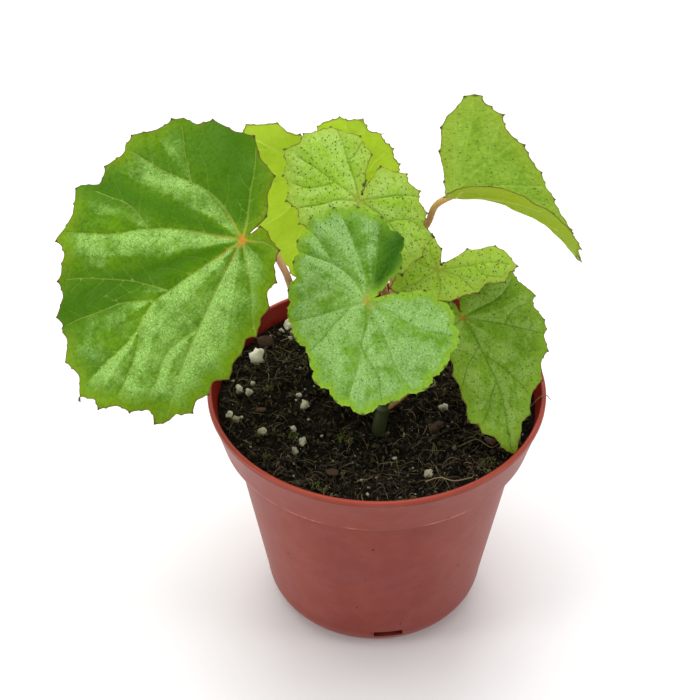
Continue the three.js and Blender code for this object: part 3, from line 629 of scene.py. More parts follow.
def smooth_line(through, count):
    """The centripetal Catmull-Rom curve through the points, cut into equal lengths."""
    p = np.array([tuple(point) for point in through], dtype=float)
    p = np.vstack([2 * p[0] - p[1], p, 2 * p[-1] - p[-2]])
    u = np.linspace(0, 1, 40, endpoint=False)[:, None]
    dense = []
    for p0, p1, p2, p3 in zip(p, p[1:], p[2:], p[3:]):
        d0, d1, d2 = (np.linalg.norm(b - a) ** 0.5 for a, b in ((p0, p1), (p1, p2), (p2, p3)))
        start = d1 * ((p1 - p0) / d0 - (p2 - p0) / (d0 + d1) + (p2 - p1) / d1)
        end = d1 * ((p2 - p1) / d1 - (p3 - p1) / (d1 + d2) + (p3 - p2) / d2)
        step = p2 - p1
        dense.append(p1 + u * start + u**2 * (3 * step - 2 * start - end) + u**3 * (start + end - 2 * step))
    return resampled(np.vstack([*dense, p[-2:-1]]), lambda length: np.linspace(0, length, count))


def ring_faces(count, sides, flipped=False):
    """The faces over stacked rings of points and the two end centres, which are listed last."""
    faces = []
    last = (count - 1) * sides
    for j in range(sides):
        after = (j + 1) % sides
        for i in range(0, last, sides):
            faces.append([i + j, i + after, i + sides + after, i + sides + j])
        faces.append([count * sides, after, j])
        faces.append([count * sides + 1, last + j, last + after])
    return [[first, *rest[::-1]] for first, *rest in faces] if flipped else faces


def tube(line, radii, sides):
    """A closed tube: a ring at each point of the line, turned as little as it can be."""
    tangents = np.gradient(line, axis=0)
    tangents /= np.linalg.norm(tangents, axis=1)[:, None]
    across = np.cross(tangents[0], (1, 0, 0) if abs(tangents[0][0]) < 0.8 else (0, 1, 0))
    rings = []
    for centre, tangent, radius in zip(line, tangents, radii):
        across = across - tangent * np.dot(across, tangent)
        across /= np.linalg.norm(across)
        rings.append(centre + radius * circle(sides) @ [across, np.cross(tangent, across)])
    return np.vstack([*rings, line[:1], line[-1:]]), ring_faces(len(line), sides)


def lumpy_tube(line, radii, sides, size, height, seed):
    """A tube whose skin is uneven by a share of its radius, and how far along it each point is."""
    points, faces = tube(line, radii, sides)
    centres = np.vstack([np.repeat(line, sides, axis=0), line[:1], line[-1:]])
    lumps = 1 + height * noise_at(points, size, seed)
    along = np.r_[np.repeat(np.linspace(0, 1, len(line)), sides), 0, 1]
    return centres + (points - centres) * lumps[:, None], faces, {"along": along}


def unit_ball(detail):
    ball = bmesh.new()
    bmesh.ops.create_icosphere(ball, subdivisions=detail, radius=1)
    points = np.array([v.co[:] for v in ball.verts])
    faces = [[v.index for v in face.verts] for face in ball.faces]
    ball.free()
    return points, faces


def turned(points, angles):
    """Points turned about X, then Y, then Z."""
    for axis, angle in enumerate(angles):
        a, b = [(1, 2), (2, 0), (0, 1)][axis]
        c, s = math.cos(angle), math.sin(angle)
        points = points.copy()
        points[:, a], points[:, b] = c * points[:, a] - s * points[:, b], s * points[:, a] + c * points[:, b]
    return points


def lump(centre, radii, detail, roughness, seed):
    """A rough grain: a ball stretched, dented by noise and turned."""
    points, faces = unit_ball(detail)
    dents = noise_at(points, 0.8, seed) + 0.5 * noise_at(points, 0.35, seed + 9)
    points = points * (1 + roughness * dents)[:, None] * np.array(radii)
    points = turned(points, [6.3 * share for share in draws(seed, 1, 3)])
    return points + np.array(centre), faces


# Materials

class Shader:
    """A material whose nodes are added one call at a time."""

    def __init__(self, name):
        self.material = bpy.data.materials.new(name)
        self.material.use_nodes = True
        self.tree = self.material.node_tree
        self.tree.nodes.clear()
        self.output = self.node("ShaderNodeOutputMaterial")

    def node(self, kind, inputs=None, **settings):
        made = self.tree.nodes.new(kind)
        for key, value in settings.items():
            setattr(made, key, value)
        for key, value in (inputs or {}).items():
            if isinstance(value, bpy.types.NodeSocket):
                self.tree.links.new(value, made.inputs[key])
            else:
                made.inputs[key].default_value = value
        return made

    def attribute(self, name, kind="Fac"):
        return self.node("ShaderNodeAttribute", attribute_name=name).outputs[kind]

    def place(self):
        """Where a point is in the object's own frame, in millimetres."""
        coords = self.node("ShaderNodeTexCoord").outputs["Object"]
        scaled = {0: coords, "Scale": 1 / MM}
        return self.node("ShaderNodeVectorMath", scaled, operation="SCALE").outputs[0]

    def math(self, operation, a, b=0.0):
        return self.node("ShaderNodeMath", {0: a, 1: b}, operation=operation).outputs[0]

    def product(self, first, *others):
        for other in others:
            first = self.math("MULTIPLY", first, other)
        return first

    def step(self, value, low, high):
        """0 below low and 1 above high, or the other way round when low is the larger."""
        ends = {"Value": value, "From Min": low, "From Max": high}
        return self.node("ShaderNodeMapRange", ends, interpolation_type="SMOOTHSTEP").outputs[0]

    def ramp(self, value, low, high, start=0.0, end=1.0):
        """From low to high, while the value goes from start to end."""
        ends = {"Value": value, "From Min": start, "From Max": end, "To Min": low, "To Max": high}
        return self.node("ShaderNodeMapRange", ends).outputs[0]

    def mix(self, share, a, b):
        return self.node("ShaderNodeMix", {0: share, 6: a, 7: b}, data_type="RGBA").outputs[2]

    def tint(self, colour, paint, *shares):
        """A colour with a paint, given from 0 to 255, laid over it by the product of the shares."""
        return self.mix(self.product(*shares), colour, srgb(*paint))

    def adjust(self, colour, **changes):
        changes = {key.capitalize(): value for key, value in changes.items()}
        return self.node("ShaderNodeHueSaturation", {"Color": colour, **changes}).outputs[0]

    def noise(self, place, size, detail=3.0, roughness=0.55):
        settings = {"Vector": place, "Scale": 1 / size, "Detail": detail, "Roughness": roughness}
        return self.node("ShaderNodeTexNoise", settings).outputs["Fac"]

    def cells(self, place, size, feature="F1"):
        settings = {"Vector": place, "Scale": 1 / size}
        return self.node("ShaderNodeTexVoronoi", settings, feature=feature).outputs

    def dots(self, place, spacing, size, core):
        """1 on a dot in the middle of each cell, and a number from 0 to 1 that each cell has by chance."""
        cells = self.cells(place, spacing)
        chance = self.node("ShaderNodeSeparateColor", {0: cells["Color"]}).outputs[0]
        return self.step(cells["Distance"], size, core), chance

    def bump(self, height, distance, strength=1.0, normal=None):
        settings = {"Height": height, "Distance": distance * MM, "Strength": strength}
        if normal:
            settings["Normal"] = normal
        return self.node("ShaderNodeBump", settings).outputs[0]

    def surface(self, colour, roughness, normal=None, **settings):
        inputs = {"Base Color": colour, "Roughness": roughness}
        if normal:
            inputs["Normal"] = normal
        inputs |= {key.replace("_", " "): value for key, value in settings.items()}
        return self.node("ShaderNodeBsdfPrincipled", inputs)

    def finish(self, shader):
        self.tree.links.new(shader.outputs[0], self.output.inputs["Surface"])
        return self.material


def collar_highlight_share(s, place, height):
    """Where a pale painted highlight lies along the edge at the collar's foot, broken up by noise."""
    below = s.step(height, COLLAR_FOOT + 1.0, COLLAR_FOOT + 0.4)
    above = s.step(height, COLLAR_FOOT - 1.4, COLLAR_FOOT - 0.6)
    return s.product(below, above, s.step(s.noise(place, 9, 4, 0.7), 0.46, 0.6))


def inner_wall(s, place, height):
    """1 on the wall's inside above the soil, told by its distance from the axis at each height."""
    x, y, _ = s.node("ShaderNodeSeparateXYZ", {0: place}).outputs
    level = s.node("ShaderNodeCombineXYZ", {0: x, 1: y}).outputs[0]
    distance = s.node("ShaderNodeVectorMath", {0: level}, operation="LENGTH").outputs["Value"]
    outward = s.math("SUBTRACT", distance, s.product(height, 0.2))
    return s.product(s.step(outward, 32.9, 32.6), s.step(height, 66, 70))


def pot_material():
    """Thin moulded plastic: dark brick red, dusty, faint rings, specks of soil, and painted highlights:
    orange on the lip, pale at the collar's foot.
    """
    s = Shader("pot_plastic")
    place = s.place()
    height = s.node("ShaderNodeSeparateXYZ", {0: place}).outputs[2]
    cloud = s.noise(place, 18, 3, 0.5)
    colour = s.mix(s.step(cloud, 0.25, 0.75), srgb(*POT_PAINTS["dark"]), srgb(*POT_PAINTS["light"]))
    colour = s.tint(colour, POT_PAINTS["purple"], s.step(s.noise(place, 24, 2, 0.5), 0.5, 0.75), 0.6)
    colour = s.tint(colour, POT_PAINTS["dust"], s.step(s.noise(place, 6, 6, 0.6), 0.3, 0.9), 0.2)
    # Painted highlight: orange along the rounded top of the lip.
    colour = s.tint(colour, POT_PAINTS["lip_highlight"], s.step(height, POT_HEIGHT - 0.9, POT_HEIGHT - 0.3), 0.55)
    # Painted highlight: a pale line along the collar's foot.
    colour = s.tint(colour, POT_PAINTS["collar_highlight"], collar_highlight_share(s, place, height), 0.6)
    for spacing, without in POT_SPECKS:
        dot, chance = s.dots(place, spacing, 0.14, 0.07)
        colour = s.tint(colour, POT_PAINTS["speck"], dot, s.math("GREATER_THAN", chance, without), 0.85)
    colour = s.tint(colour, POT_PAINTS["inside"], inner_wall(s, place, height), 0.9)
    rings = s.math("SINE", s.product(height, 2.1))
    normal = s.bump(rings, 0.012, 0.2, s.bump(s.noise(place, 0.7, 3), 0.03, 0.5))
    return s.finish(s.surface(colour, s.ramp(cloud, 0.36, 0.48), normal, Specular_IOR_Level=0.25))


def soil_material():
    """Nearly black peat with light flecks."""
    s = Shader("soil_peat")
    place = s.place()
    colour = s.mix(s.step(s.noise(place, 2.6, 5, 0.65), 0.35, 0.68), srgb(6, 5, 3), srgb(30, 24, 16))
    colour = s.tint(colour, (90, 76, 52), s.step(s.noise(place, 0.6, 3, 0.6), 0.6, 0.7), 0.6)
    normal = s.bump(s.noise(place, 0.8, 6, 0.7), 0.9, 0.9)
    return s.finish(s.surface(colour, 0.9, normal, Specular_IOR_Level=0.1))


def grain_material(name):
    """A rough material between two colours, by each grain's own tint and by noise."""
    dark, light, roughness, grain, depth = GRAIN_MATERIALS[name]
    s = Shader(name)
    place = s.place()
    share = s.math("ADD", s.product(s.attribute("tint"), 0.75), s.product(s.noise(place, grain * 2, 3), 0.25))
    colour = s.mix(share, srgb(*dark), srgb(*light))
    normal = s.bump(s.noise(place, grain, 4, 0.6), depth, 0.8)
    return s.finish(s.surface(colour, roughness, normal, Specular_IOR_Level=0.15))


def stalk_material(name, paints):
    """Soft plant stalk: three colours from foot to head, with fine lengthwise streaks."""
    foot, middle, head = paints
    s = Shader(name)
    place = s.place()
    along = s.attribute("along")
    colour = s.mix(s.step(along, 0.0, 0.35), srgb(*foot), srgb(*middle))
    colour = s.tint(colour, head, s.step(along, 0.72, 1.0))
    streaks = s.node("ShaderNodeMapping", {"Vector": place, "Scale": (1, 1, 0.2)}).outputs[0]
    blotch = s.step(s.noise(streaks, 0.9, 4), 0.4, 0.7)
    colour = s.mix(s.product(blotch, 0.6), colour, s.adjust(colour, value=1.35, saturation=0.85))
    normal = s.bump(s.noise(place, 0.35, 3), 0.08, 0.6)
    depth = {"Subsurface_Weight": 0.15, "Subsurface_Scale": 0.8 * MM, "Subsurface_Radius": (1, 0.6, 0.3)}
    return s.finish(s.surface(colour, 0.42, normal, **depth))


def leaf_patterns(s, look):
    """The values at the blade's points, and the patterns that several of its colours share."""
    names = ("vein", "edge", "tip", "hub", "side", "bare", "arms", "under")
    at = SimpleNamespace(**{name: s.attribute(name) for name in names})
    at.flat = s.attribute("flat", "Vector")
    at.cloud = s.noise(at.flat, 11, 3, 0.5)
    at.mottle = s.math("ADD", s.product(at.cloud, 0.45), s.product(s.noise(at.flat, 1.3, 4, 0.65), 0.55))
    at.margin = s.math("ADD", at.edge, s.product(s.noise(at.flat, 4, 2), -3.5))
    at.grains = s.step(s.noise(at.flat, look["grain"], 2, 0.7), 0.36, 0.64)
    at.net = s.step(s.cells(at.flat, 2.7, "DISTANCE_TO_EDGE")["Distance"], 0.09, 0.0)
    at.on_vein = s.step(at.vein, 1.15, 0.35)
    broken = s.step(s.noise(at.flat, 3, 2), 0.3, 0.55)
    at.rim = s.product(s.step(at.edge, look["rim_width"], 0.0), broken, look["rim"])
    return at


def silver_and_sheen_share(s, at, look):
    """Torn patches of fine silvery grains with painted sheen over them, more on the side of each vein where
    the sheen is painted, fewer in the painted shade and none along its margin.
    """
    # Painted sheen: more on one side of each vein and in given sectors, where light from above and behind
    # would catch the slopes.
    torn = s.product(at.side, look["one_sided_sheen"], at.mottle, 2.0)
    leaning = s.math("ADD", s.noise(at.flat, 6, 4, 0.65), torn)
    patches = s.step(s.math("SUBTRACT", leaning, s.product(at.bare, 0.4)), *look["patches"])
    speckled = s.math("ADD", s.product(at.grains, 0.65), 0.35)
    return s.product(speckled, patches, s.step(at.margin, -1, look["margin"]), look["silver_and_sheen"])


def star_share(s, at, look):
    """The orange hub and its arms along the veins."""
    arms = s.product(s.step(at.vein, 0.65, 0.1), s.step(at.hub, look["star_reach"], 0.0), at.arms)
    return s.product(s.math("MAXIMUM", s.step(at.hub, 1.4, 0.4), arms), look["star"])


def upper_colour(s, at, look):
    """Mottled green, painted shade, a pale margin, silver grains with painted sheen, a fine net, dots, veins,
    the star, and a dark rim and tips.
    """
    colour = s.mix(s.step(at.mottle, 0.38, 0.62), srgb(*look["deep"]), srgb(*look["fresh"]))
    # Painted shade: a darker green over the sectors that face away from the light.
    colour = s.tint(colour, look["bare"], at.bare)
    band = s.step(at.margin, look["band_width"], -1.5)
    colour = s.tint(colour, look["band"], band, s.math("SUBTRACT", 1.0, at.bare), look["pale_edge"])
    # Silvery grains with painted sheen over them.
    colour = s.tint(colour, look["sheen"], silver_and_sheen_share(s, at, look))
    colour = s.tint(colour, look["deep"], at.net, look["net"])
    size = DOT_REACH / look["dot_spacing"]
    dot, chance = s.dots(at.flat, look["dot_spacing"], size, 0.4 * size)
    colour = s.tint(colour, look["dot"], dot, s.step(chance, 0.2, 0.4), look["dots"])
    colour = s.tint(colour, look["vein"], at.on_vein, look["vein_strength"])
    colour = s.tint(colour, look["hub"], star_share(s, at, look))
    colour = s.adjust(colour, value=s.ramp(s.noise(at.flat, 0.75, 4, 0.7), 0.86, 1.14, 0.3, 0.7))
    colour = s.tint(colour, look["rim_colour"], at.rim)
    return s.tint(colour, look["tip_colour"], s.step(at.tip, 1.1, 0.2), look["tip"])


def lower_colour(s, at, look):
    """The blade's paler back, with raised veins."""
    colour = s.mix(s.product(at.on_vein, 0.6), srgb(*look["back"]), srgb(*look["back_vein"]))
    colour = s.tint(colour, look["back_vein"], at.net, 0.25)
    colour = s.tint(colour, look["fresh"], s.step(at.cloud, 0.4, 0.6), 0.25)
    return s.tint(colour, look["rim_colour"], at.rim, 0.8)


def leaf_material(leaf):
    """The blade's colours, by place on the flat blade and by distance from its veins and edge."""
    look = leaf["look"]
    s = Shader("leaf_" + leaf["name"])
    at = leaf_patterns(s, look)
    colour = s.mix(at.under, upper_colour(s, at, look), lower_colour(s, at, look))
    pimples = s.bump(s.noise(at.flat, look["grain"], 3, 0.6), 0.12, look["pimples"])
    normal = s.bump(s.product(at.net, -1.0), 0.07, 0.6, pimples)
    skin = s.surface(colour, s.ramp(at.grains, 0.4, 0.55), normal, Specular_IOR_Level=look["gloss"])
    warmer = s.adjust(colour, hue=0.485, saturation=1.05, value=1.6)
    glow = s.node("ShaderNodeBsdfTranslucent", {"Color": warmer, "Normal": normal})
    both = {0: look["through"], 1: skin.outputs[0], 2: glow.outputs[0]}
    return s.finish(s.node("ShaderNodeMixShader", both))


# Leaf blades

def edge_radius(leaf, degrees):
    """The blade's edge as a smooth closed curve: a cubic between each pair of outline points."""
    angles, radii = np.array(leaf["outline"], dtype=float).T
    angles = np.r_[angles[-2:] - 360, angles, angles[:2] + 360]
    radii = np.r_[radii[-2:], radii, radii[:2]]
    slopes = np.diff(radii) / np.diff(angles)
    before, after = slopes[:-1], slopes[1:]
    level = before * after <= 0
    tangents = np.where(level, 0, 2 * before * after / np.where(level, 1, before + after))
    tangents = np.r_[0, tangents, 0]
    degrees = (np.asarray(degrees, dtype=float) - angles[1]) % 360 + angles[1]
    i = np.clip(np.searchsorted(angles, degrees, side="right") - 1, 1, len(angles) - 3)
    span = angles[i + 1] - angles[i]
    t = (degrees - angles[i]) / span
    start = (1 + 2 * t) * (1 - t) ** 2 * radii[i] + t * (1 - t) ** 2 * span * tangents[i]
    return start + t * t * (3 - 2 * t) * radii[i + 1] + t * t * (t - 1) * span * tangents[i + 1]


def edge_towards(leaf, points):
    """The edge's distance from the hub in each point's direction."""
    return edge_radius(leaf, bearings(points))


def beside_edge(leaf, degrees, offset, lean=0):
    """Places on the flat blade at an offset from its edge, square to it, leaning towards the leaf's tip."""
    base = edge_radius(leaf, degrees)
    slope = (edge_radius(leaf, degrees + 0.5) - edge_radius(leaf, degrees - 0.5)) / math.radians(1) / base
    slope = np.clip(slope, -STEEPEST_EDGE, STEEPEST_EDGE)
    length = np.sqrt(1 + slope**2)
    reach = np.maximum(base + offset / length, 0.8)
    shift = offset * slope / length + lean * np.sign(degrees)
    turn = np.radians(degrees) - shift / np.maximum(base, 4)
    return np.column_stack([reach * np.cos(turn), reach * np.sin(turn)])


def half_edge(leaf, side):
    """The teeth's tips and notches from the leaf's tip round to its base: angle, offset and kind."""
    steps = 2 * leaf["teeth"] - 1
    seed = side * leaf["turn"][0]
    angles = side * np.arange(EDGE_SAMPLES + 1) * 180 / EDGE_SAMPLES
    radii = edge_radius(leaf, angles)
    walked = np.r_[0, np.cumsum(np.hypot(np.diff(radii), radii[1:] * math.pi / EDGE_SAMPLES))]
    marks = []
    for k in range(steps + 1):
        is_tooth = k % 2 == 0
        shift = TOOTH_SPREAD * (draw(k, seed) - 0.5) if is_tooth and k > 0 else 0
        angle = float(np.interp(walked[-1] * (k + shift) / steps, walked, side * angles)) * side
        size = leaf["tooth_depth"] * min(float(edge_radius(leaf, angle)) / FULL_TEETH_RADIUS, 1)
        tooth = mix(*TOOTH_TIPS, draw(k + 0.5, seed)) if is_tooth else NOTCH
        marks.append((angle, size * tooth, is_tooth))
    return marks


def flank_rise(leaf, angle, up, height, length, chances):
    """How far a tooth's flank stands above its notch, how far it leans and where its denticle is."""
    hollow, size, place = chances
    pointed = leaf["point"] > 1
    rise = height * up ** (leaf["point"] + 0.5 * pointed * (hollow - 0.5))
    rise += NEEDLES[pointed] * up**NEEDLE_SHARPNESS
    denticle = mix(*DENTICLES, size) * min(length / FULL_DENTICLE_FLANK, 1)
    from_denticle = np.abs(up - mix(*DENTICLE_PLACES, place)) * length
    rise += denticle * np.maximum(0, 1 - from_denticle / DENTICLE_REACH)
    lean = LEAN * pointed * rise
    base = edge_radius(leaf, angle)
    for middle, spur in leaf["spurs"]:
        rise += spur * np.maximum(0, 1 - np.radians(np.abs(angle - middle)) * base / SPUR_REACH) ** 1.2
    return rise, lean, int(from_denticle.argmin())


def blade_edge(leaf):
    """The fine edge on the flat blade, anticlockwise, and the teeth's tips: x, y and how pale each is."""
    right = half_edge(leaf, -1)[1:]
    marks = [*right[::-1], *half_edge(leaf, 1)[:-1]]
    marks.append((marks[0][0] + 360, *marks[0][1:]))
    edge = []
    tips = []
    for i, ((a0, o0, tooth), (a1, o1, _)) in enumerate(zip(marks, marks[1:])):
        length = math.radians(a1 - a0) * float(edge_radius(leaf, (a0 + a1) / 2))
        count = max(4, math.ceil(length / EDGE_STEP))
        t = np.arange(count) / count
        angle = a0 + (a1 - a0) * t
        up = 1 - t if tooth else t
        notch, top = (o1, o0) if tooth else (o0, o1)
        rise, lean, denticle = flank_rise(leaf, angle, up, top - notch, length, draws(i, TOOTH_SEED, 3))
        wobble = EDGE_WOBBLE * np.array([noise.noise(Vector((a / 4, leaf["teeth"], 0))) for a in angle])
        edge.append(beside_edge(leaf, angle, notch + rise + wobble, lean))
        if tooth:
            tips.append((*edge[-1][0], 0))
        if leaf["point"] > 1:
            tips.append((*edge[-1][denticle], DENTICLE_MARK))
    for place, _ in leaf["spurs"]:
        tips.append((*beside_edge(leaf, np.array([place]), leaf["tooth_depth"])[0], 0))
    return np.vstack(edge), np.array(tips)


def line_distance(points, path, widths):
    """Each point's distance from a line, the line's half width there, and the side it is on."""
    a, b = path[:-1], path[1:]
    along = b - a
    offset = points[:, None] - a
    t = np.clip((offset * along).sum(axis=2) / (along**2).sum(axis=1), 0, 1)
    distance = np.linalg.norm(offset - t[..., None] * along, axis=2)
    nearest = distance.argmin(axis=1)
    rows = np.arange(len(points))
    near, step = offset[rows, nearest], along[nearest]
    side = np.sign(step[:, 0] * near[:, 1] - step[:, 1] * near[:, 0])
    return distance[rows, nearest], mix(widths[:-1][nearest], widths[1:][nearest], t[rows, nearest]), side


def large_veins(leaf):
    """The main veins and their forks on the flat blade, each with its half widths and its rank."""
    lines = []
    for rank, group in enumerate((leaf["veins"], leaf["forks"])):
        for number, path in enumerate(group):
            start = [] if rank else [(0, 0)]
            through = [(x, y, 0) for x, y in [*start, *path]]
            count = max(8, round(sum(math.dist(a, b) for a, b in zip(through, through[1:]))))
            line = smooth_line(through, count)[:, :2]
            t = np.linspace(0, 1, count)
            line[:, 1] += 0.3 * np.sin(9 * t + number) * np.sin(math.pi * t)
            lines.append((line, mix(*VEIN_WIDTHS[rank], t), rank))
    return lines


def branch_line(line, place, side, seed, length):
    """A fine vein that leaves a larger one at a point along it and bends towards its direction."""
    tangent = math.atan2(*(line[place + 1] - line[place])[::-1])
    u = np.linspace(0, 1, 9)
    heading = tangent + side * np.radians(mix(*BRANCH_ANGLES, u)) + 0.1 * np.sin(6 * u + seed)
    steps = np.column_stack([np.cos(heading), np.sin(heading)]) * (length / 8)
    return line[place] + np.vstack([[0, 0], np.cumsum(steps[:-1], axis=0)])


def free_length(leaf, branch, others):
    """How many of a branch's points come before it reaches the edge or another vein."""
    free = np.hypot(*branch.T) < 0.97 * edge_towards(leaf, branch) - 0.8
    for other, widths, _ in others:
        distance, _, _ = line_distance(branch, other, widths)
        free &= (distance > BRANCH_CLEARANCE) | (np.arange(len(branch)) < 3)
    return len(branch) if free.all() else int(np.argmin(free))


def vein_lines(leaf):
    """All veins: the large ones, and fine branches that leave each to either side in turn."""
    large = large_veins(leaf)
    fine = []
    for number, (line, _, _) in enumerate(large):
        others = [other for i, other in enumerate(large) if i != number]
        side = 1
        for place in range(4, len(line) - 2, 3):
            seed = number * 31 + place
            side = -side
            length = mix(*BRANCH_LENGTHS, draw(seed, leaf["teeth"]))
            branch = branch_line(line, place, side, seed, length)
            keep = free_length(leaf, branch, others)
            if keep > SHORTEST_BRANCH:
                fine.append((branch[:keep], mix(*VEIN_WIDTHS[2], np.linspace(0, 1, keep)), 2))
    return large + fine


def sector_share(sectors, points):
    """How far a place is in one of the blade's sectors, each a middle angle and a half width."""
    share = np.zeros(len(points))
    for middle, half in sectors:
        away = np.abs((bearings(points) - middle + 180) % 360 - 180)
        share = np.maximum(share, np.exp(-((away / half) ** 2)))
    return share * smooth(np.hypot(*points.T), *SECTOR_START)


def blade_fields(leaf, points, lines, edge, tips):
    """What the form and the colours need to know of each place on the flat blade."""
    vein = np.full(len(points), 9.0)
    quilt = np.full(len(points), 30.0)
    nearest = np.full(len(points), 30.0)
    side = np.zeros(len(points))
    for path, widths, rank in lines:
        distance, width, on_side = line_distance(points, path, widths)
        vein = np.minimum(vein, distance / width + VEIN_FADE[rank])
        quilt = np.minimum(quilt, distance * QUILT_STEEPNESS[rank] + QUILT_START[rank])
        if rank < len(SHEEN_SIDE_WEIGHTS):
            closer = distance < nearest
            nearest = np.where(closer, distance, nearest)
            side = np.where(closer, on_side * SHEEN_SIDE_WEIGHTS[rank], side)
    hub = np.hypot(*points.T)
    return {
        "vein": vein,
        "quilt": quilt,
        # Which side of the nearest vein gets painted sheen, fading away from it, with the sectors of painted
        # sheen.
        "side": side * np.exp(-nearest / SHEEN_FROM_VEIN) + sector_share(leaf.get("painted_sheen", []), points),
        # How far each place is in the sectors of painted shade.
        "bare": sector_share(leaf.get("bare", []), points),
        "edge": nearest_distance(points, edge),
        "tip": (np.linalg.norm(points[:, None] - tips[:, :2], axis=2) + tips[:, 2]).min(axis=1),
        "hub": hub,
        "arms": np.maximum(sector_share(leaf.get("arms", EVERY_WAY), points), 1 - smooth(hub, *ARMS_START)),
    }


def blade_relief(leaf, points, fields):
    """Cushions between the veins, pleats that run outwards, broad unevenness and a wavy margin."""
    look, seed = leaf["look"], leaf["teeth"]
    away = 1 - np.exp(-fields["quilt"] / CUSHION_REACH)
    free = smooth(fields["hub"], *RELIEF_START)
    relief = look["quilt"] * (away - CUSHION_LEVEL) * free
    across, along = bearings(points) / PLEAT_DEGREES, fields["hub"] / PLEAT_LENGTH
    pleats = noise_at(np.column_stack([across, along]), 1, seed + 2)
    relief += look["pleat"] * pleats * smooth(fields["hub"], *PLEAT_START) * away
    relief += UNEVENNESS * noise_at(points, UNEVENNESS_SIZE, seed) * free
    relief += PUCKERS * look["quilt"] * noise_at(points, PUCKER_SIZE, seed + 8) * away
    margin = np.exp(-fields["edge"] / MARGIN_REACH)
    return relief + MARGIN_WAVES * margin * noise_at(points, MARGIN_WAVE_SIZE, seed + 5) * free


def walk(distance, slope_at):
    """How far a line runs and rises over a distance along it, when its slope changes on the way."""
    shares = (np.arange(SURFACE_STEPS) + 0.5) / SURFACE_STEPS
    slopes = np.radians(slope_at(distance[:, None] * shares))
    return distance * np.cos(slopes).mean(axis=1), distance * np.sin(slopes).mean(axis=1)


def blade_surface(leaf, points, relief=0):
    """The blade's middle surface in its own frame, as in the part's source, with added relief."""
    x, y = points.T
    left = y >= 0
    fold = np.where(left, *leaf.get("fold", (0, 0)))
    curl = np.where(left, *leaf["curl"])
    crease = leaf.get("crease", 1)

    def drop(d):
        return leaf["bend"] * d + 0.5 * leaf.get("bend_growth", 0) * d * np.abs(d)

    def lift(d):
        return fold[:, None] * (1 - np.exp(-d / crease)) + curl[:, None] * d

    run, fall = walk(x, drop)
    across, rise = walk(np.abs(y), lift)
    size, waves, phase = leaf["ruffle"]
    wave = size * np.sin(waves * np.arctan2(y, x) + phase) * (x * x + y * y) / RUFFLE_RADIUS**2
    height = rise + wave + relief
    tilt = np.radians(drop(x))
    return np.column_stack([run + height * np.sin(tilt), across * np.sign(y), height * np.cos(tilt) - fall])


def leaf_axes(leaf):
    """The leaf frame's axes as rows: roll about X, then pitch about Y, then heading about Z."""
    heading, pitch, roll = (math.radians(angle) for angle in leaf["turn"])
    return turned(np.eye(3), (roll, -pitch, heading))


def on_plant(leaf, points):
    """Points of the leaf's own frame where they are on the plant."""
    return points @ leaf_axes(leaf) + np.array(leaf["junction"])


def vertex_normals(points, triangles):
    corners = points[triangles]
    normals = np.cross(corners[:, 1] - corners[:, 0], corners[:, 2] - corners[:, 0])
    summed = np.zeros_like(points)
    for corner in range(3):
        np.add.at(summed, triangles[:, corner], normals)
    return summed / np.linalg.norm(summed, axis=1)[:, None]


def inner_points(edge, lines):
    """Points along every vein and a grid of points between them, inside the edge and clear of it."""
    reach = np.hypot(*edge.T)

    def inside(points, margin):
        limit = np.interp(bearings(points), bearings(edge), reach, period=360)
        return points[np.hypot(*points.T) < limit - margin]

    def clear_of(points, others, distance):
        return points[nearest_distance(points, others) > distance]

    ribs = []
    for line, _, _ in lines:
        rib = inside(resampled(line, lambda length: np.arange(0.5 * GRID, length, 0.75 * GRID)), 0.4)
        if ribs:
            rib = clear_of(rib, np.vstack(ribs), 0.6 * GRID)
        ribs.append(rib)
    ribs = clear_of(np.vstack(ribs), edge, 0.5 * GRID)
    low, high = edge.min(axis=0), edge.max(axis=0)
    rows = np.arange(low[1], high[1], GRID * math.sqrt(3) / 2)
    grid = [(x + GRID / 2 * (j % 2), y) for j, y in enumerate(rows) for x in np.arange(low[0], high[0], GRID)]
    grid = clear_of(inside(np.array(grid), 0.1), np.vstack([edge, ribs]), 0.55 * GRID)
    return np.vstack([ribs, grid])


def flat_blade(edge, lines):
    """Triangles inside the edge, with corners along every vein, and the edge points' numbers."""
    given = [Vector(p) for p in np.vstack([edge, inner_points(edge, lines)])]
    loop = list(range(len(edge)))
    made = delaunay_2d_cdt(given, [], [loop], 1, 1e-5)
    points = np.array([p[:] for p in made[0]])
    number = {origin: i for i, origins in enumerate(made[3]) for origin in origins}
    used, triangles = np.unique(np.array(made[2]), return_inverse=True)
    points, triangles = points[used], triangles.reshape(-1, 3)
    corners = points[triangles]
    first, second = corners[:, 1] - corners[:, 0], corners[:, 2] - corners[:, 0]
    backward = first[:, 0] * second[:, 1] - first[:, 1] * second[:, 0] < 0
    triangles[backward] = triangles[backward][:, ::-1]
    return points, triangles, [int(np.searchsorted(used, number[i])) for i in loop]


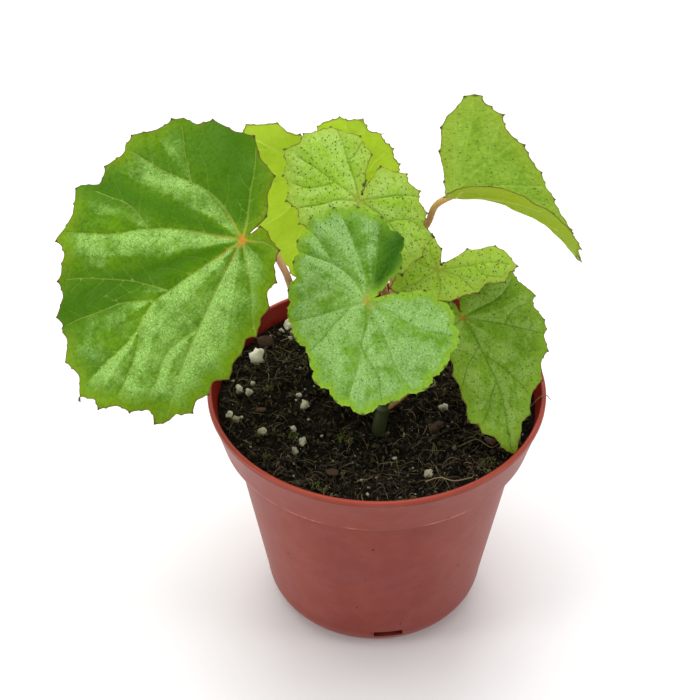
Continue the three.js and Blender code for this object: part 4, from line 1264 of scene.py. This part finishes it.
def build_blade(leaf):
    """A thin closed blade: grooved along its veins above, ribbed below, thinner at its edge."""
    edge, tips = blade_edge(leaf)
    lines = vein_lines(leaf)
    points, triangles, rim = flat_blade(edge, lines)
    fields = blade_fields(leaf, points, lines, edge, tips)
    middle = blade_surface(leaf, points, blade_relief(leaf, points, fields))
    normals = vertex_normals(middle, triangles)
    full = 1 - np.exp(-fields["edge"] / BLADE_EDGE_REACH)
    half = mix(BLADE_EDGE_THICKNESS, BLADE_THICKNESS, full) / 2
    line = np.exp(-((VEIN_SHARPNESS * fields["vein"]) ** 2)) * smooth(fields["edge"], *VEIN_END)
    strength = line * np.clip(VEIN_STRENGTHS[1] - VEIN_FADING * fields["hub"], *VEIN_STRENGTHS)
    upper = middle + normals * (half - GROOVE_DEPTH * strength)[:, None]
    lower = middle - normals * (half + RIB_HEIGHT * strength)[:, None]
    count = len(points)
    sides = [[i, i + count, j + count, j] for i, j in zip(rim, rim[1:] + rim[:1])]
    faces = [*triangles.tolist(), *(triangles[:, ::-1] + count).tolist(), *sides]
    both = on_plant(leaf, np.vstack([upper, lower]))
    values = {key: np.tile(value, 2) for key, value in fields.items() if key != "quilt"}
    flat = np.column_stack([points, np.zeros(count)])
    values["flat"] = np.vstack([flat, flat + (0, 0, LOWER_FACE_SHIFT)])
    values["under"] = np.r_[np.zeros(count), np.ones(count)]
    name = leaf["name"]
    material = leaf_material(leaf)
    add_piece("blade_" + name, both, faces, material, "leaf_" + name, values, BLADE_CREASE)
    return lines, edge, tips


def bristle_places(leaf, lines, edge, tips):
    """Places on the flat blade a little out of rows, away from its veins and edge."""
    spacing = leaf["look"]["dot_spacing"] * 1.15
    low, high = edge.min(axis=0), edge.max(axis=0)
    places = []
    for i, x in enumerate(np.arange(low[0], high[0], spacing)):
        for j, y in enumerate(np.arange(low[1], high[1], spacing)):
            across, along = draws(i * 57 + j, BRISTLE_PLACE_SEED, 2)
            places.append((x + spacing * across, y + spacing * along))
    places = np.array(places)
    places = places[np.hypot(*places.T) < edge_towards(leaf, places) - 2.2]
    return places[blade_fields(leaf, places, lines, edge, tips)["vein"] > 1.5]


def build_bristles(leaf, lines, edge, tips, material):
    """Short leaning hairs, each on a little swollen foot, strewn over the upper face."""

    def surface(points):
        near = blade_fields(leaf, points, lines, edge, tips)
        return blade_surface(leaf, points, blade_relief(leaf, points, near))

    places = bristle_places(leaf, lines, edge, tips)
    foot = surface(places)
    reach = 0.4
    normals = np.cross(surface(places + (reach, 0)) - foot, surface(places + (0, reach)) - foot)
    normals /= np.linalg.norm(normals, axis=1)[:, None]
    foot = on_plant(leaf, foot + 0.14 * normals)
    parts = []
    for i, (place, normal) in enumerate(zip(foot, normals @ leaf_axes(leaf))):
        *lean, tall = draws(i, BRISTLE_SEED, 4)
        lean = (np.array(lean) - 0.5) * 0.9
        tip = mix(*BRISTLE_HEIGHTS, tall) * (normal + lean - normal * np.dot(lean, normal))
        line = np.array([place, place + 0.14 * normal, place + 0.26 * normal, place + tip])
        parts.append((*tube(line, BRISTLE_RADII, 5), draw(i, BRISTLE_TINT_SEED)))
    add_parts("bristles_" + leaf["name"], parts, material)


# Stem and petioles

def build_petiole(leaf, stem, material):
    """From inside the stem to the lower face of the blade, a little thicker at both ends."""
    height, azimuth = leaf["foot"]
    foot = stem[round(height * (len(stem) - 1))]
    out = np.array([*polar(PETIOLE_SET_OFF, math.radians(azimuth)), PETIOLE_RISE])
    line = smooth_line([foot, foot + out, *leaf["route"], leaf["junction"]], PETIOLE_STEPS)
    t = np.linspace(0, 1, PETIOLE_STEPS)
    swelling = sum(high * np.exp(-(((t - at) / reach) ** 2)) for at, high, reach in PETIOLE_SWELLINGS)
    radii = mix(*PETIOLE_RADII, t) * (1 + swelling)
    points, faces, along = lumpy_tube(line, radii, PETIOLE_SIDES, *PETIOLE_LUMPS, leaf["teeth"])
    local = (points - np.array(leaf["junction"])) @ leaf_axes(leaf).T
    surface = blade_surface(leaf, local[:, :2])[:, 2] - 0.1
    near = np.linalg.norm(local, axis=1) < 5
    local[:, 2] = np.where(near, np.minimum(local[:, 2], surface), local[:, 2])
    points = on_plant(leaf, local)
    add_piece("stalk_" + leaf["name"], points, faces, material, "petiole_" + leaf["name"], along)


def build_stem(material):
    """The main stem, swollen where each petiole leaves it and rounded at its tip."""
    line = smooth_line(STEM_LINE, STEM_STEPS)
    t = np.linspace(0, 1, STEM_STEPS)
    tip = np.minimum((1 - t) / STEM_TIP_ROUNDING, 1)
    radii = mix(*STEM_RADII, t) * mix(STEM_TIP_FLAT, 1, np.sqrt(tip * (2 - tip)))
    for leaf in LEAVES:
        radii = radii + NODE_SWELLING * np.exp(-(((t - leaf["foot"][0]) / NODE_LENGTH) ** 2))
    points, faces, along = lumpy_tube(line, radii, STEM_SIDES, *STEM_LUMPS, 3)
    add_piece("stem", points, faces, material, "main_stem", along)
    return line


# Soil

def inner_radius(z):
    """The inside of the pot's wall at a height."""
    if z <= COLLAR_FOOT:
        share = (z - CORNER_RADIUS) / (COLLAR_FOOT - CORNER_RADIUS)
        return mix(BODY_FOOT_RADIUS, BODY_TOP_RADIUS, share) - WALL
    share = (z - COLLAR_FOOT - WALL) / (COLLAR_HEIGHT - LIP_HEIGHT - WALL)
    return mix(COLLAR_FOOT_RADIUS, RIM_RADIUS - LIP_REACH, share) - WALL


SOIL_RADIUS = inner_radius(SOIL_TOP)


def soil_height(x, y):
    """The soil's broad mounds and hollows, as in the part's source."""
    from_wall = SOIL_RADIUS - GAP - np.hypot(x, y)
    relief = sum(size * np.sin(kx * x + ky * y + phase) for size, kx, ky, phase in SOIL_WAVES)
    return SOIL_TOP + smooth(from_wall, 0, SOIL_LEVEL_EDGE) * SOIL_RELIEF * relief


def build_soil(material):
    """The whole filling: crumbly on top, a smooth side and bottom inside the pot."""
    ring = circle(SOIL_SECTORS)
    reaches = (SOIL_RADIUS - 0.05) * np.linspace(0, 1, SOIL_RINGS + 1)[1:]
    flat = np.vstack([reach * ring for reach in reaches])
    crumble = sum(high * noise_at(flat, size, i) for i, (high, size) in enumerate(SOIL_CRUMBLE, 1))
    rings = [np.column_stack([flat, soil_height(*flat.T) + crumble])]
    foot = FLOOR + GAP
    sides = [(inner_radius(z) - GAP, z) for z in SOIL_SIDE_HEIGHTS]
    for radius, z in [*sides, (FLAT_RADIUS, foot)]:
        rings.append(np.column_stack([radius * ring, np.full(SOIL_SECTORS, z)]))
    points = np.vstack([*rings, [(0, 0, soil_height(0, 0)), (0, 0, foot)]])
    faces = ring_faces(len(points) // SOIL_SECTORS, SOIL_SECTORS, flipped=True)
    add_piece("soil", points, faces, material, "potting_soil")


def strewn(count, seed, reach):
    """Seeded places on the soil, even over its area, clear of the stem."""
    places = []
    k = 0
    while len(places) < count:
        x, y = polar(reach * math.sqrt(draw(k, seed)), 2 * math.pi * draw(k, seed + 0.5))
        if math.hypot(x - STEM_LINE[1][0], y - STEM_LINE[1][1]) > FREE_OF_STEM:
            places.append((x, y))
        k += 1
    return places


def dry_share(x, y):
    """How far a place is in the dry brown patch at the back left."""
    across, along = ((a - middle) / reach for a, middle, reach in zip((x, y), DRY_PATCH, DRY_REACH))
    return math.exp(-(across**2) - along**2)


def build_crumbs(material):
    """Loose crumbs of peat and bark, most of them fine."""
    parts = []
    for i, (x, y) in enumerate(strewn(CRUMBS, CRUMB_PLACE_SEED, SOIL_RADIUS - 1)):
        large, wide, tall, shade = draws(i, CRUMB_SEED, 4)
        size = mix(*CRUMB_SIZES, large**5)
        radii = (size, size * mix(*CRUMB_WIDTHS, wide), size * mix(*CRUMB_HEIGHTS, tall))
        z = float(soil_height(x, y)) + 0.5 + 0.4 * size
        darkness = (1.7 + 3 * size) * (1 - 0.65 * dry_share(x, y))
        grain = lump((x, y, z), radii, 2 if size > 0.4 else 1, CRUMB_DENTS, i + 100)
        parts.append((*grain, shade**darkness))
    add_parts("soil_crumbs", parts, material)


def build_chips(material):
    """Boxy chips of bark with worn corners."""
    parts = []
    for i, (centre, radii, turns) in enumerate(CHIPS):
        points, faces = unit_ball(3)
        boxy = np.sign(points) * np.abs(points) ** 0.7
        dents = 1 + 0.3 * noise_at(points, 0.6, i + 3) + 0.12 * noise_at(points, 0.2, i)
        points = turned(boxy * dents[:, None] * np.array(radii), turns) + np.array(centre)
        parts.append((points, faces, draw(i, CHIP_SEED)))
    add_parts("bark_chips", parts, material)


def build_moss(material):
    """Small cushions of short green shoots."""
    parts = []
    for number, (x, y, reach) in enumerate(TUFTS):
        for i in range(round(SHOOTS_PER_MM * reach)):
            far, turn, lean_x, lean_y, tall, shade = draws(number * 97 + i, MOSS_SEED, 6)
            distance = reach * math.sqrt(far)
            foot = np.array([x, y, 0]) + (*polar(distance, 2 * math.pi * turn), 0)
            foot[2] = float(soil_height(*foot[:2])) + 0.4
            lean = np.array([lean_x - 0.5, lean_y - 0.5, 0])
            height = mix(*SHOOT_HEIGHTS, tall) * (1 - 0.5 * distance / reach)
            line = np.array([foot, foot + 0.4 * lean + (0, 0, 0.6 * height), foot + lean + (0, 0, height)])
            parts.append((*tube(line, SHOOT_RADII, 5), shade))
    add_parts("moss", parts, material)


def perlite_grains():
    """x, y and radius of the part's own grains and of finer ones between them."""
    grains = list(PLACED_GRAINS)
    for i in range(RANDOM_GRAINS):
        far, turn, large = draws(i, GRAIN_PLACE_SEED, 3)
        distance = (SOIL_RADIUS - GRAINS_FROM_WALL) * math.sqrt(mix(GRAINLESS_CENTRE**2, 1, far))
        grains.append((*polar(distance, 2 * math.pi * turn), mix(*RANDOM_GRAIN_RADII, large**2)))
    for i, place in enumerate(strewn(FINE_GRAINS, FINE_PLACE_SEED, SOIL_RADIUS - 1.6)):
        grains.append((*place, mix(*FINE_GRAIN_RADII, draw(i, FINE_SIZE_SEED) ** 2)))
    return grains


def build_perlite(material):
    """Puffed cream-white grains, the finer ones duller."""
    parts = []
    for i, (x, y, radius) in enumerate(perlite_grains()):
        wide, tall, shade = draws(i, GRAIN_SHAPE_SEED, 3)
        radii = (radius, radius * mix(*GRAIN_WIDTHS, wide), radius * mix(*GRAIN_HEIGHTS, tall))
        z = float(soil_height(x, y)) + 0.35 + radius * 0.35
        tint = max(shade * min(1, 0.3 + radius / 3), float(smooth(radius, 1.2, 2)))
        grain = lump((x, y, z), radii, 3 if radius > 0.9 else 2, GRAIN_DENTS, i + 500)
        parts.append((*grain, tint))
    add_parts("perlite", parts, material)


def fibre_line(x, y, length, heading, bend, arch, number):
    """A fibre that wanders over the soil from a place, no further than the wall."""
    steps = len(FIBRE_TAPER) - 1
    line = []
    for step in range(steps + 1):
        line.append((x, y, float(soil_height(x, y)) + 0.55 + arch * math.sin(math.pi * step / steps)))
        wander = draw(number * (steps + 1) + step, FIBRE_WANDER_SEED) - 0.5
        heading += bend / steps + FIBRE_WANDER * wander
        x += math.cos(heading) * length / steps
        y += math.sin(heading) * length / steps
    line = np.array(line)
    line[:, :2] *= np.minimum(1, (SOIL_RADIUS - 0.6) / np.hypot(line[:, 0], line[:, 1]))[:, None]
    return line


def build_fibres(material):
    """Fine roots and peat fibres that lie over the soil, fewer towards its middle, so the soil is darker
    there.
    """
    parts = []
    for through, thick, tint in PLACED_FIBRES:
        line = smooth_line(through, PLACED_FIBRE_STEPS)
        parts.append((*tube(line, np.full(PLACED_FIBRE_STEPS, thick), 6), tint))
    for i, (x, y) in enumerate(strewn(FIBRES, FIBRE_PLACE_SEED, SOIL_RADIUS - 3)):
        long, turn, curve, arch, _, thick, shade, chance = draws(i, FIBRE_SEED, 8)
        from_middle = math.dist((x, y), FIBRE_SPARSE_MIDDLE)
        if chance > mix(0.3, 1, smooth(from_middle, 12, 30)):
            continue
        length = mix(*FIBRE_LENGTHS, long**2)
        line = fibre_line(x, y, length, 2 * math.pi * turn, mix(*FIBRE_BENDS, curve), arch, i)
        radii = mix(*FIBRE_THICKNESSES, thick**3) * np.array(FIBRE_TAPER)
        parts.append((*tube(line, radii, 4), shade ** (3 - 2 * dry_share(x, y))))
    add_parts("soil_fibres", parts, material)


# Pot

def arc(centre, radius, start, end, steps):
    turns = np.radians(np.linspace(start, end, steps + 1))
    return [(centre[0] + radius * math.cos(t), centre[1] + radius * math.sin(t)) for t in turns]


def pot_profile():
    """Half the pot's section, anticlockwise from the middle of the base: radius and height."""
    lip_foot = POT_HEIGHT - LIP_HEIGHT
    collar_top = RIM_RADIUS - LIP_REACH
    edge = EDGE_ROUNDING
    inner_lip = collar_top - WALL + edge
    return [
        (0, 0),
        *arc((FLAT_RADIUS, CORNER_RADIUS), CORNER_RADIUS, -90, 0, CORNER_STEPS),
        (BODY_TOP_RADIUS - 0.05, COLLAR_FOOT - 2 * edge),
        *arc((BODY_TOP_RADIUS + edge, COLLAR_FOOT - edge), edge, 180, 90, ROUNDING_STEPS),
        *arc((COLLAR_FOOT_RADIUS - edge, COLLAR_FOOT + edge), edge, -90, 0, ROUNDING_STEPS),
        (collar_top, lip_foot - edge),
        *arc((RIM_RADIUS - 0.4, lip_foot + 0.4), 0.4, -70, 0, ROUNDING_STEPS),
        *arc((RIM_RADIUS - 0.6, POT_HEIGHT - 0.6), 0.6, 0, 90, ROUNDING_STEPS),
        *arc((inner_lip + 0.3, POT_HEIGHT - 0.5), 0.5, 90, 180, ROUNDING_STEPS),
        (inner_radius(lip_foot), lip_foot - 0.4),
        (inner_radius(COLLAR_FOOT + WALL), COLLAR_FOOT + WALL),
        (inner_radius(COLLAR_FOOT), COLLAR_FOOT - edge),
        *arc((FLAT_RADIUS, FLOOR + CORNER_RADIUS - WALL), CORNER_RADIUS - WALL, 0, -90, CORNER_STEPS),
        (0, FLOOR),
    ]


def slot_cutter(material):
    """Boxes where the drain slots go."""
    half = np.array([CORNER_RADIUS, SLOT_WIDTH / 2, SLOT_HEIGHT / 2])
    corners = np.array([(x, y, z) for x in (-1, 1) for y in (-1, 1) for z in (-1, 1)]) * half
    box = [[0, 1, 3, 2], [4, 6, 7, 5], [0, 4, 5, 1], [2, 3, 7, 6], [0, 2, 6, 4], [1, 5, 7, 3]]
    parts = []
    for k in range(SLOTS):
        turn = math.radians(FIRST_SLOT_AZIMUTH + 360 * k / SLOTS)
        parts.append((turned(corners + (BODY_FOOT_RADIUS, 0, SLOT_Z), (0, 0, turn)), box, 0))
    points, faces, _ = join_parts(parts)
    return make_object("slot_cutter", points, faces, material)


def build_pot(material):
    """The turned shell with its drain slots cut out."""
    profile = pot_profile()
    middle = profile[1:-1]
    points = [(radius * x, radius * y, z) for radius, z in middle for x, y in circle(POT_SECTORS)]
    points += [(0, 0, profile[0][1]), (0, 0, profile[-1][1])]
    faces = ring_faces(len(middle), POT_SECTORS)
    pot = add_piece("nursery_pot", points, faces, material, "pot")
    cutter = slot_cutter(material)
    cut = pot.modifiers.new("slots", "BOOLEAN")
    cut.operation = "DIFFERENCE"
    cut.solver = "EXACT"
    cut.object = cutter
    graph = bpy.context.evaluated_depsgraph_get()
    mesh = bpy.data.meshes.new_from_object(pot.evaluated_get(graph))
    pot.modifiers.clear()
    pot.data = mesh
    mesh.polygons.foreach_set("use_smooth", [True] * len(mesh.polygons))
    mesh.set_sharp_from_angle(angle=math.radians(POT_CREASE))
    bpy.data.objects.remove(cutter)


# Stage

def add_softbox(name, place, size, watts):
    light = bpy.data.lights.new(name, "AREA")
    light.shape = "RECTANGLE"
    light.size, light.size_y = size
    light.energy = watts
    made = bpy.data.objects.new(name, light)
    made.location = place
    made.visible_camera = False
    made.rotation_mode = "QUATERNION"
    made.rotation_quaternion = (Vector(LIGHTS_AIM) - Vector(place)).to_track_quat("-Z", "Y")
    bpy.context.scene.collection.objects.link(made)


def build_stage():
    """Pale floor, white surroundings and soft lights."""
    s = Shader("floor")
    colour = s.mix(s.noise(s.place(), 60, 2), srgb(250, 250, 249), srgb(254, 254, 253))
    corners = [(x * FLOOR_SIZE, y * FLOOR_SIZE, 0) for x, y in ((-1, -1), (1, -1), (1, 1), (-1, 1))]
    make_object("floor", corners, [[0, 1, 2, 3]], s.finish(s.surface(colour, 0.9)))
    world = bpy.data.worlds.new("studio")
    bpy.context.scene.world = world
    world.use_nodes = True
    background = world.node_tree.nodes["Background"]
    background.inputs["Color"].default_value = (1, 1, 1, 1)
    background.inputs["Strength"].default_value = SKY_STRENGTH
    for name, (place, size, watts) in LIGHTS.items():
        add_softbox(name, place, size, watts)


def build_camera():
    """The camera where the photographer's was."""
    data = bpy.data.cameras.new("camera")
    data.sensor_width = SENSOR_MM
    data.lens = FOCAL_PIXELS / IMAGE_PIXELS * SENSOR_MM
    camera = bpy.data.objects.new("camera", data)
    camera.location = Vector(CAMERA_PLACE) * MM
    yaw, pitch = math.radians(CAMERA_YAW), math.radians(CAMERA_PITCH)
    forward = Vector((math.sin(yaw) * math.cos(pitch), math.cos(yaw) * math.cos(pitch), -math.sin(pitch)))
    camera.rotation_mode = "QUATERNION"
    camera.rotation_quaternion = forward.to_track_quat("-Z", "Y")
    bpy.context.scene.collection.objects.link(camera)
    bpy.context.scene.camera = camera
    bpy.context.scene.view_settings.view_transform = "Standard"


build_camera()
build_stage()
build_pot(pot_material())
build_soil(soil_material())
build_crumbs(grain_material("peat_crumbs"))
build_perlite(grain_material("perlite"))
build_chips(grain_material("bark"))
build_moss(grain_material("moss"))
build_fibres(grain_material("fibres"))
stem_line = build_stem(stalk_material("stem", STEM_PAINTS_WITH_SHADE))
petiole_material = stalk_material("petioles", PETIOLE_PAINTS)
bristle_material = grain_material("bristles")
for leaf in LEAVES:
    shared = {**LOOK, **YOUNG_LOOK} if leaf["slot"] == "leaf_young" else LOOK
    leaf["look"] = {**shared, **leaf.get("look", {})}
    blade = build_blade(leaf)
    if leaf["look"]["dots"]:
        build_bristles(leaf, *blade, bristle_material)
    build_petiole(leaf, stem_line, petiole_material)
